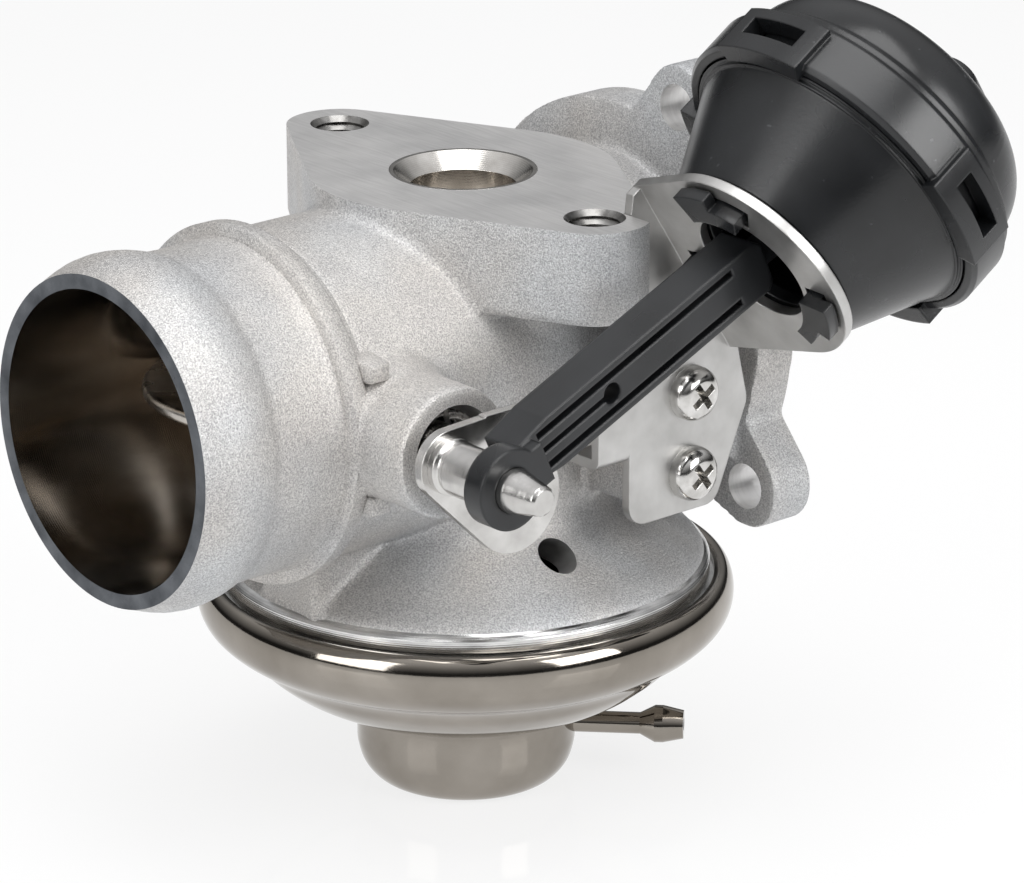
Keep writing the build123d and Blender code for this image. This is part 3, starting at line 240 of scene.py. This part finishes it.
def rolled_sheet():
    f = Finish("rolled_sheet", (0.55, 0.545, 0.535), metallic=0.95, roughness=0.36)
    f.soft_edges(0.3)
    rolled = f.noise(0.4, detail=3.0, stretch=(2, 2, 14))
    clouds = f.noise(6.0, detail=4.0)
    f.colour(f.tint(clouds, (0.45, 0.445, 0.435), (0.62, 0.615, 0.605), 0.3, 0.7))
    f.gloss(clouds, 0.3, 0.7, 0.3, 0.44)
    f.bump(rolled, 0.01, 0.6)
    return f.material


def screw_steel():
    f = Finish("screw_steel", (0.66, 0.65, 0.635), metallic=1.0, roughness=0.13)
    f.soft_edges(0.2)
    clouds = f.noise(2.2, detail=3.0)
    f.colour(f.tint(clouds, (0.52, 0.51, 0.49), (0.72, 0.71, 0.695), 0.3, 0.7))
    f.gloss(clouds, 0.3, 0.7, 0.1, 0.2)
    f.bump(clouds, 0.02, 0.3)
    return f.material


def seat_steel():
    f = Finish("seat_steel", (0.66, 0.64, 0.61), metallic=1.0, roughness=0.16)
    f.soft_edges(0.12)
    marks = f.tool_marks(0.22, way="Z")
    clouds = f.noise(4.0, detail=3.0)
    f.colour(f.tint(clouds, (0.50, 0.48, 0.45), (0.72, 0.70, 0.67), 0.3, 0.7))
    f.gloss(marks, 0.0, 1.0, 0.12, 0.22)
    f.bump(marks, 0.008, 0.6)
    return f.material


def valve_steel():
    f = Finish("valve_steel", (0.4, 0.36, 0.31), metallic=1.0, roughness=0.3)
    heat = f.noise(7.0, detail=3.0)
    marks = f.tool_marks(0.25, way="Z")
    f.colour(f.tint(heat, (0.26, 0.22, 0.18), (0.46, 0.42, 0.37), 0.3, 0.7))
    f.gloss(heat, 0.3, 0.7, 0.24, 0.4)
    f.bump(marks, 0.008, 0.5)
    return f.material


def stamped_flap():
    f = Finish("stamped_flap", (0.56, 0.53, 0.49), metallic=1.0, roughness=0.26)
    f.soft_edges(0.3)
    soot = f.noise(6.0, detail=3.0)
    rolled = f.noise(0.4, detail=3.0, stretch=(1, 8, 1))
    f.colour(f.tint(soot, (0.42, 0.39, 0.355), (0.66, 0.63, 0.59), 0.3, 0.7))
    f.gloss(soot, 0.3, 0.7, 0.2, 0.34)
    f.bump(rolled, 0.01, 0.5)
    return f.material


def spring_steel():
    f = Finish("spring_steel", (0.42, 0.41, 0.4), metallic=1.0, roughness=0.28)
    drawn = f.noise(0.8, detail=3.0)
    f.colour(f.tint(drawn, (0.32, 0.31, 0.3), (0.52, 0.51, 0.49), 0.3, 0.7))
    f.gloss(drawn, 0.3, 0.7, 0.22, 0.36)
    f.bump(drawn, 0.01, 0.4)
    return f.material


def sinter_bronze():
    f = Finish("sinter_bronze", (0.55, 0.37, 0.18), metallic=1.0, roughness=0.38)
    pores = f.noise(0.25, detail=2.0)
    clouds = f.noise(4.0)
    f.colour(f.tint(clouds, (0.42, 0.27, 0.13), (0.62, 0.43, 0.22), 0.3, 0.7))
    f.gloss(pores, 0.3, 0.7, 0.3, 0.5)
    f.bump(pores, 0.015, 0.6)
    return f.material


def moulded_black():
    f = Finish("moulded_black", (0.014, 0.015, 0.017), roughness=0.34)
    f.soft_edges(0.35)
    texture = f.noise(0.45, detail=3.0, rough=0.6)
    flow = f.noise(14.0, detail=3.0)
    specks = f.noise(1.1, detail=1.0)
    base = f.tint(flow, (0.0065, 0.007, 0.0078), (0.014, 0.015, 0.0165), 0.3, 0.7)
    dust = f.tint(specks, (0.0, 0.0, 0.0), (0.03, 0.031, 0.033), 0.74, 0.8)
    f.colour(f.mixed("ADD", base, dust))
    f.gloss(flow, 0.3, 0.7, 0.22, 0.34)
    f.bump(texture, 0.022, 0.55)
    return f.material


def rod_plastic():
    f = Finish("rod_plastic", (0.011, 0.0118, 0.013), roughness=0.32)
    f.soft_edges(0.6)
    fibres = f.noise(0.45, detail=3.0, stretch=(1, 3, 2))
    flow = f.noise(9.0, detail=3.0)
    f.colour(f.tint(flow, (0.007, 0.0076, 0.0085), (0.016, 0.017, 0.0188), 0.3, 0.7))
    f.gloss(flow, 0.3, 0.7, 0.25, 0.4)
    f.bump(fibres, 0.018, 0.5)
    return f.material


def seal_rubber():
    f = Finish("seal_rubber", (0.02, 0.02, 0.021), roughness=0.62)
    skin = f.noise(0.5, detail=3.0)
    f.colour(f.tint(skin, (0.013, 0.013, 0.014), (0.03, 0.03, 0.031), 0.3, 0.7))
    f.gloss(skin, 0.3, 0.7, 0.52, 0.7)
    f.bump(skin, 0.02, 0.5)
    return f.material


cast = cast_aluminium()
milled = milled_aluminium()
mouth_face = turned_mouth()
bore_face = bored_wall()
rim_face = turned_rim()
thread_face = tapped_wall()
nickel = nickel_plate()
bright = bright_steel()
sheet_metal = rolled_sheet()
screw_metal = screw_steel()
seat_metal = seat_steel()
valve_metal = valve_steel()
flap_metal = stamped_flap()
wire = spring_steel()
bronze = sinter_bronze()
black = moulded_black()
rod_black = rod_plastic()
rubber = seal_rubber()

node_finish = {
    "housing": cast,
    "seat_ring": seat_metal,
    "poppet_valve": valve_metal,
    "valve_guide": bronze,
    "stem_seal": rubber,
    "can_body": nickel,
    "can_nipple": nickel,
    "valve_diaphragm": rubber,
    "clamp_ring": bright,
    "spring_cup": bright,
    "stem_rivet": bright,
    "valve_spring": wire,
    "flap_shaft": bright,
    "flap_plate": flap_metal,
    "flap_screws": screw_metal,
    "lever_bush": bronze,
    "blind_bush": bronze,
    "shaft_seal": rubber,
    "shaft_plug": bright,
    "lever_plate": bright,
    "crank_pin": bright,
    "lever_spring": wire,
    "link_rod": rod_black,
    "actuator_bracket": sheet_metal,
    "bracket_screws": screw_metal,
    "actuator_housing": black,
    "actuator_cover": black,
    "actuator_diaphragm": rubber,
    "actuator_piston": rod_black,
    "actuator_spring": wire,
    "manifold_seal": rubber,
}
for node, finish in node_finish.items():
    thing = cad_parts[node]
    for slot in thing.material_slots:
        slot.material = finish


# ---- mesh tools -----------------------------------------------------------------------------
def turned_frame(axis):
    """Matrix that turns Z to the axis."""
    return Vector(axis).to_track_quat("Z", "Y").to_matrix().to_4x4()


def rod(bm, start, end, r1, r2=None, sides=96):
    """Round bar between two points, tapered where a second radius is given."""
    start = Vector(start)
    end = Vector(end)
    way = end - start
    bmesh.ops.create_cone(
        bm, cap_ends=True, cap_tris=False, segments=sides,
        radius1=r1, radius2=r1 if r2 is None else r2, depth=way.length,
        matrix=Matrix.Translation((start + end) / 2) @ turned_frame(way),
    )


def block(bm, low, high):
    """Upright box between two corners."""
    low = Vector(low)
    high = Vector(high)
    size = Matrix.Diagonal((*(high - low), 1))
    bmesh.ops.create_cube(bm, size=1, matrix=Matrix.Translation((low + high) / 2) @ size)


def wrapped(bm, discs, place, low, high, sides=64):
    """Convex solid round discs (x, y, radius) between two levels of the placed plane."""
    made = []
    for x, y, r in discs:
        for level in (low, high):
            spot = place @ Matrix.Translation((x, y, level))
            made += bmesh.ops.create_circle(
                bm, cap_ends=False, segments=sides, radius=r, matrix=spot)["verts"]
    hull = bmesh.ops.convex_hull(bm, input=made, use_existing_faces=False)
    left_over = hull["geom_interior"] + hull["geom_unused"]
    spare = {piece for piece in left_over if isinstance(piece, bmesh.types.BMVert)}
    bmesh.ops.delete(bm, geom=list(spare), context="VERTS")


def lathe(bm, profile, axis, centre=(0, 0, 0), steps=128):
    """Profile of (radius, along) turned full circle about the axis through centre."""
    place = Matrix.Translation(centre) @ turned_frame(axis)
    verts = [bm.verts.new(place @ Vector((r, 0, h))) for r, h in profile]
    edges = [bm.edges.new(pair) for pair in zip(verts, verts[1:])]
    bmesh.ops.spin(
        bm, geom=verts + edges, cent=Vector(centre), axis=Vector(axis).normalized(), angle=2 * pi,
        steps=steps, use_merge=True,
    )
    bmesh.ops.remove_doubles(bm, verts=bm.verts, dist=1e-4)


def finished(bm, name, *materials):
    """Object with the bmesh in metres and its faces outwards."""
    bmesh.ops.recalc_face_normals(bm, faces=bm.faces)
    bmesh.ops.scale(bm, vec=(MM, MM, MM), verts=bm.verts)
    mesh = bpy.data.meshes.new(name)
    bm.to_mesh(mesh)
    bm.free()
    thing = bpy.data.objects.new(name, mesh)
    scene.collection.objects.link(thing)
    for material in materials:
        mesh.materials.append(material)
    return thing


def settled(thing):
    """Apply the modifiers, so the mesh holds the shape."""
    view = bpy.context.evaluated_depsgraph_get()
    view.update()
    mesh = bpy.data.meshes.new_from_object(
        thing.evaluated_get(view), preserve_all_data_layers=True, depsgraph=view)
    thing.modifiers.clear()
    old = thing.data
    thing.data = mesh
    mesh.name = thing.name
    bpy.data.meshes.remove(old)


def crisp(thing, angle):
    """Smooth shading with the edges sharper than angle kept sharp."""
    bm = bmesh.new()
    bm.from_mesh(thing.data)
    for face in bm.faces:
        face.smooth = True
    for edge in bm.edges:
        edge.smooth = edge.calc_face_angle(pi) < radians(angle)
    bm.to_mesh(thing.data)
    bm.free()


def combine(thing, other, way):
    """Exact union or difference, with the other's material on the faces that it makes."""
    tool = thing.modifiers.new("combine", "BOOLEAN")
    tool.operation = way
    tool.solver = "EXACT"
    tool.material_mode = "TRANSFER"
    tool.object = other
    settled(thing)
    bpy.data.objects.remove(other)


# ---- casting --------------------------------------------------------------------------------
tube_z = -26.0          # height of the tube axis
shaft_y = -31.4         # place of the flap shaft along the tube
bore_r = 21.2
mouth_y = 64.5          # hose end, from the exhaust inlet
manifold_y = 35.0       # face towards the manifold
flange_r = 31.0
pad_face_x = 31.0       # where the actuator bracket lies
ear_reach = 35.6        # tube axis to the ear holes
ear_hole_r = 3.4
pipe_bolt_x = 30.0      # inlet to the threaded holes
pipe_end_r = 7.8        # inlet flange about those holes
thread_pitch = 1.25
thread_crest_r = 3.4
thread_root_r = 3.95
seat_hole_r = 10.53
boss_r = 9.2            # boss of the flap shaft
guide_hole_r = 5.03     # pressed pieces, with their clearance
vent_r = 2.7
band_r = 35.5           # machined band under the dish
hose_side = (0, -1, 0)
upright = (0, 0, 1)
lever_way = (1, 0, 0)
flange_turn = Matrix.Rotation(radians(-3.5), 4, "Z")
manifold_place = Matrix.Translation((0, manifold_y, tube_z)) @ Matrix.Rotation(radians(90), 4, "X")
lever_place = Matrix(((0, 0, 1, 0), (1, 0, 0, 0), (0, 1, 0, 0), (0, 0, 0, 1)))
ear_angles = (-35.0, 67.0, 193.0)


def casting_stock():
    """Everything the foundry pours, as overlapping closed shapes."""
    bm = bmesh.new()
    lathe(bm, [
        (0, 64.0), (22.4, 64.0), (22.4, 38.0), (23.8, 36.0), (23.8, -36), (0, -36),
    ], hose_side, (0, 0, tube_z))
    # inlet flange
    ends = [(0, 0, 22.0), (-pipe_bolt_x, 0, pipe_end_r), (pipe_bolt_x, 0, pipe_end_r)]
    wrapped(bm, ends, flange_turn, -13.4, 3.0)
    wrapped(bm, [(-4, 0, 19.0), (4, 0, 19.0)], Matrix.Identity(4), -26.0, -13.0)
    # soft root between the flange and the tube
    wrapped(bm, [(0, -2, 21.0), (-8, -1, 15.0), (8, -1, 15.0)], Matrix.Identity(4), -18.0, -9.0)
    # manifold flange and its ears
    rod(bm, (0, 28, tube_z), (0, 38, tube_z), flange_r)
    for angle in ear_angles:
        place = manifold_place @ Matrix.Rotation(radians(angle), 4, "Z")
        wrapped(bm, [(ear_reach, 0, 6.2), (17.8, 0, 10.5)], place, -3.0, 7.0)
    # neck and dish over the can
    lathe(bm, [
        (0, -26), (20.8, -26), (20.8, -42), (21.2, -46.0), (22.6, -48.4), (25.6, -50.6),
        (32.6, -55.0), (34.2, -56.3), (34.9, -57.4), (34.9, -62.0), (0, -62.0), (0, -26),
    ], upright)
    # web between the tube and the dish
    block(bm, (-4, -34.5, -58), (8, -18.5, -43.8))
    # boss of the flap shaft and its root
    rod(bm, (-31, shaft_y, tube_z), (35, shaft_y, tube_z), boss_r)
    rod(bm, (16, shaft_y, tube_z), (25.5, shaft_y, tube_z), 12.4, 9.4)
    # pad behind the actuator bracket, carried back to the manifold flange
    pad = [(7, -23, 2), (17, -23, 2), (21.4, -32, 2), (18, -42, 2), (7, -42, 2)]
    wrapped(bm, pad, lever_place, 8.0, 32.0)
    pad_root = [(19, -21, 2), (30, -19, 2), (30, -40, 2), (19, -41, 2)]
    wrapped(bm, pad_root, lever_place, 9.0, 27.0)
    # round pad on the flange edge
    rod(bm, (22, 31.5, tube_z - 1), (31.4, 31.5, tube_z - 1), 3.5)
    return finished(bm, "casting_body", cast)


def hose_spigot():
    """Bead, straight run and the lipped collar behind it."""
    bm = bmesh.new()
    lathe(bm, [
        (0, 66.5), (23.2, 66.5), (23.3, 64.2), (23.8, 63.0), (24.4, 61.4), (24.8, 60.0),
        (25.0, 58.2), (24.95, 56.8), (24.7, 55.2), (24.35, 53.9), (24.1, 53.2), (23.75, 52.7),
        (23.6, 51.6), (23.45, 48.0), (23.5, 44.0), (23.65, 41.4), (23.85, 41.05), (25.2, 40.75),
        (25.6, 40.4), (25.6, 38.3), (25.3, 37.8), (24.3, 37.3), (24.0, 36.2), (0, 36.2),
    ], hose_side, (0, 0, tube_z), steps=192)
    return finished(bm, "spigot_stock", cast)


def collar_lugs():
    """Two small tapered pads cast between the collar and the shaft boss."""
    bm = bmesh.new()
    for z in (tube_z + 10, tube_z - 9):
        for corner in bmesh.ops.create_cube(bm, size=1)["verts"]:
            tip = corner.co.x > 0
            corner.co = Vector((
                25.4 if tip else 12.0, -36.2 + corner.co.y * (3.4 if tip else 5.4),
                z + corner.co.z * (2.7 if tip else 4.6),
            ))
    bmesh.ops.bevel(
        bm, geom=bm.edges[:], offset=0.45, affect="EDGES", segments=2, profile=0.5, material=-1)
    return finished(bm, "lug_stock", cast)


def thread_hole(bm, x, y):
    """Threaded hole with a countersink, cut from above."""
    profile = [(0, 1.0), (5.6, 1.0), (4.3, 0.0), (3.6, -0.8)]
    z = -1.0
    while z > -19.0:
        profile += [
            (thread_root_r, z - 0.31), (thread_crest_r, z - 0.94), (thread_crest_r, z - 1.1),
        ]
        z -= thread_pitch
    profile += [(thread_crest_r, -19.4), (0, -20.4)]
    lathe(bm, profile, upright, (x, y, 0), steps=48)


def cut_with(body, bm, name, finish):
    """Take the cutter's shape out and leave its finish on the new faces."""
    combine(body, finished(bm, name, finish), "DIFFERENCE")


def machine_casting(body):
    # faces
    bm = bmesh.new()
    block(bm, (-50, -45, 0), (50, 24.6, 12))
    cut_with(body, bm, "top_cutter", milled)
    bm = bmesh.new()
    block(bm, (-50, -80, -60), (50, -mouth_y, 10))
    cut_with(body, bm, "mouth_cutter", mouth_face)
    bm = bmesh.new()
    block(bm, (-60, manifold_y, -80), (60, 45, 20))
    block(bm, (pad_face_x, 2.4, -47), (50, 26.0, 1))
    # hollow of the dish, over the diaphragm
    lathe(bm, [(8.5, -63), (26, -63), (26, -53.5), (8.5, -53.5), (8.5, -63)], upright)
    cut_with(body, bm, "back_cutter", milled)
    # bores
    bm = bmesh.new()
    rod(bm, (0, -70, tube_z), (0, 40, tube_z), bore_r, sides=160)
    cut_with(body, bm, "bore_cutter", bore_face)
    bm = bmesh.new()
    rod(bm, (0, 0, 2), (0, 0, -20), seat_hole_r, sides=128)
    for angle in ear_angles:
        spot = manifold_place @ Matrix.Rotation(radians(angle), 4, "Z") @ Vector((ear_reach, 0, 0))
        rod(bm, (spot.x, 20, spot.z), (spot.x, 40, spot.z), ear_hole_r, sides=48)
    lathe(bm, [
        (0, 40), (6.8, 40), (6.8, 27), (guide_hole_r, 27), (guide_hole_r, -40), (0, -40),
    ], lever_way, (0, shaft_y, tube_z), steps=64)
    way = Vector((-1, 0.1, -0.42)).normalized()
    vent = Vector((34, -5, -46.5))
    rod(bm, vent - way * 4, vent + way * 24, vent_r, sides=48)
    rod(bm, (0, 0, -64), (0, 0, -40), guide_hole_r, sides=48)
    # groove of the manifold seal
    groove = [(23.6, -36), (26.4, -36), (26.4, -32.2), (23.6, -32.2), (23.6, -36)]
    lathe(bm, groove, hose_side, (0, 0, tube_z))
    cut_with(body, bm, "hole_cutter", milled)
    bm = bmesh.new()
    for side in (-1, 1):
        spot = flange_turn @ Vector((pipe_bolt_x * side, 0, 0))
        thread_hole(bm, spot.x, spot.y)
    cut_with(body, bm, "thread_cutter", thread_face)


body = casting_stock()
blend_in = body.modifiers.new("pour", "REMESH")
blend_in.mode = "VOXEL"
blend_in.voxel_size = 0.0006
soften = body.modifiers.new("soften", "SMOOTH")
soften.factor = 0.5
soften.iterations = 4
thin = body.modifiers.new("thin", "DECIMATE")
thin.ratio = 0.3
settled(body)
body.data.materials.clear()
body.data.materials.append(cast)
# the lugs are joined before the spigot: the other way round the exact union loses the casting
combine(body, collar_lugs(), "UNION")
combine(body, hose_spigot(), "UNION")
machine_casting(body)
crisp(body, 34)
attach(body, "valve_body")
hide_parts("housing")

# turned band under the dish, where the can is rolled on
bm = bmesh.new()
lathe(bm, [
    (30.0, -57.0), (34.6, -57.0), (35.1, -57.3), (band_r, -57.9), (band_r, -60.4), (36.4, -60.4),
    (37.3, -61.2), (37.3, -62.0), (30.0, -62.0), (30.0, -57.0),
], upright, steps=192)
band = finished(bm, "turned_band", rim_face)
crisp(band, 30)
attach(band, "valve_body")


# ---- vacuum can -----------------------------------------------------------------------------
def smooth_run(points, steps=6):
    """Points of a soft curve through the given ones."""
    run = []
    whole = [points[0]] + list(points) + [points[-1]]
    for a, b, c, d in zip(whole, whole[1:], whole[2:], whole[3:]):
        for i in range(steps):
            t = i / steps
            run.append(tuple(
                0.5 * (2 * b[k] + (c[k] - a[k]) * t + (2 * a[k] - 5 * b[k] + 4 * c[k] - d[k]) * t * t
                       + (3 * b[k] - a[k] - 3 * c[k] + d[k]) * t * t * t) for k in (0, 1)))
    run.append(tuple(points[-1]))
    return run


bm = bmesh.new()
outside = smooth_run([
    (36.15, -59.75), (36.9, -59.35), (37.8, -59.5), (38.6, -60.6), (39.0, -62.4), (38.8, -64.4),
    (37.9, -66.3), (36.2, -68.0), (34.6, -68.9), (33.4, -69.6), (32.2, -70.7), (30.4, -72.7),
    (27.2, -75.2), (23.0, -77.4), (19.4, -78.7), (17.2, -79.5), (16.3, -80.3), (16.0, -81.6),
    (16.0, -84.4), (15.9, -86.6), (15.1, -89.2), (13.3, -91.2), (10.8, -91.8), (7.0, -91.95),
    (0.0, -91.97),
])
inside = [
    (0, -91.1), (10.8, -91.0), (14.2, -88.6), (15.1, -86.6), (15.1, -80.2), (26.6, -74.6),
    (31.4, -70.4), (35.2, -67.6), (37.7, -65.0), (38.05, -62.2), (37.6, -60.9), (36.7, -60.3),
    (36.2, -60.4), (36.15, -59.75),
]
lathe(bm, outside + inside, upright, steps=224)
can = finished(bm, "pressed_can", nickel)
crisp(can, 40)
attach(can, "valve_body")
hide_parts("can_body")


# ---- studio ---------------------------------------------------------------------------------
floor_z = -92.05        # just under the can
floor_glow = 0.78       # share of plain white in what is seen of the floor


def floor_material():
    """White floor that the views and the reflections see partly as plain light."""
    material = bpy.data.materials.new("studio_floor")
    material.use_nodes = True
    tree = material.node_tree
    shader = tree.nodes["Principled BSDF"]
    shader.inputs["Base Color"].default_value = (0.88, 0.88, 0.88, 1)
    shader.inputs["Roughness"].default_value = 0.06
    glow = tree.nodes.new("ShaderNodeEmission")
    glow.inputs["Color"].default_value = (1, 1, 1, 1)
    path = tree.nodes.new("ShaderNodeLightPath")
    seen = tree.nodes.new("ShaderNodeMath")
    seen.operation = "MAXIMUM"
    seen_too = tree.nodes.new("ShaderNodeMath")
    seen_too.operation = "MAXIMUM"
    tree.links.new(path.outputs["Is Camera Ray"], seen.inputs[0])
    tree.links.new(path.outputs["Is Glossy Ray"], seen.inputs[1])
    tree.links.new(seen.outputs[0], seen_too.inputs[0])
    tree.links.new(path.outputs["Is Transmission Ray"], seen_too.inputs[1])
    share = tree.nodes.new("ShaderNodeMath")
    share.operation = "MULTIPLY"
    share.inputs[1].default_value = floor_glow
    tree.links.new(seen_too.outputs[0], share.inputs[0])
    mix = tree.nodes.new("ShaderNodeMixShader")
    tree.links.new(share.outputs[0], mix.inputs["Fac"])
    tree.links.new(shader.outputs["BSDF"], mix.inputs[1])
    tree.links.new(glow.outputs["Emission"], mix.inputs[2])
    tree.links.new(mix.outputs["Shader"], tree.nodes["Material Output"].inputs["Surface"])
    return material


bm = bmesh.new()
bmesh.ops.create_circle(
    bm, cap_ends=True, segments=96, radius=3500, matrix=Matrix.Translation((0, 0, floor_z)))
floor = finished(bm, "studio_floor", floor_material())

world = bpy.data.worlds.new("studio")
scene.world = world
world.use_nodes = True
tree = world.node_tree
sky = tree.nodes["Background"]
coord = tree.nodes.new("ShaderNodeTexCoord")
split = tree.nodes.new("ShaderNodeSeparateXYZ")
tree.links.new(coord.outputs["Generated"], split.inputs["Vector"])
fade = tree.nodes.new("ShaderNodeValToRGB")
fade.color_ramp.elements[0].position = 0.12
fade.color_ramp.elements[0].color = (0.035, 0.035, 0.035, 1)
fade.color_ramp.elements[1].position = 0.8
fade.color_ramp.elements[1].color = (0.95, 0.95, 0.96, 1)
shoulder = fade.color_ramp.elements.new(0.4)
shoulder.color = (0.38, 0.38, 0.38, 1)
tree.links.new(split.outputs["Z"], fade.inputs["Fac"])
tree.links.new(fade.outputs["Color"], sky.inputs["Color"])
sky.inputs["Strength"].default_value = 0.9
white = tree.nodes.new("ShaderNodeBackground")
white.inputs["Color"].default_value = (1, 1, 1, 1)
white.inputs["Strength"].default_value = 1.0
path = tree.nodes.new("ShaderNodeLightPath")
mix = tree.nodes.new("ShaderNodeMixShader")
tree.links.new(path.outputs["Is Camera Ray"], mix.inputs["Fac"])
tree.links.new(sky.outputs["Background"], mix.inputs[1])
tree.links.new(white.outputs["Background"], mix.inputs[2])
tree.links.new(mix.outputs["Shader"], tree.nodes["World Output"].inputs["Surface"])


def softbox(name, turn, rise, away, wide, high, power):
    """Area lamp away metres from the valve in a direction in degrees, aimed at the valve."""
    data = bpy.data.lights.new(name, "AREA")
    data.shape = "RECTANGLE"
    data.size = wide
    data.size_y = high
    data.energy = power
    lamp = bpy.data.objects.new(name, data)
    scene.collection.objects.link(lamp)
    turn, rise = radians(turn), radians(rise)
    way = Vector((cos(turn) * cos(rise), sin(turn) * cos(rise), sin(rise)))
    middle = Vector((0, 0, -0.03))
    lamp.matrix_world = Matrix.Translation(way * away + middle) @ turned_frame(way)


softbox("left_box", -88, 20, 1.0, 0.55, 0.6, 4.6)
softbox("right_box", 12, 24, 1.0, 0.5, 0.55, 5.6)
softbox("top_box", -20, 78, 1.2, 0.9, 0.9, 8.0)

# ---- camera ---------------------------------------------------------------------------------
camera_data = bpy.data.cameras.new("camera")
camera_data.lens = 176.24
camera_data.sensor_width = 36.0
camera_data.clip_start = 0.05
camera = bpy.data.objects.new("camera", camera_data)
scene.collection.objects.link(camera)
right = Vector((0.65436, 0.75618, -0.0019))
back = Vector((0.71355, -0.61663, 0.33258)).normalized()
up = back.cross(right).normalized()
right = up.cross(back)
facing = Matrix((right, up, back)).transposed().to_4x4()
camera.matrix_world = Matrix.Translation((0.51951, -0.43993, 0.19922)) @ facing
scene.camera = camera
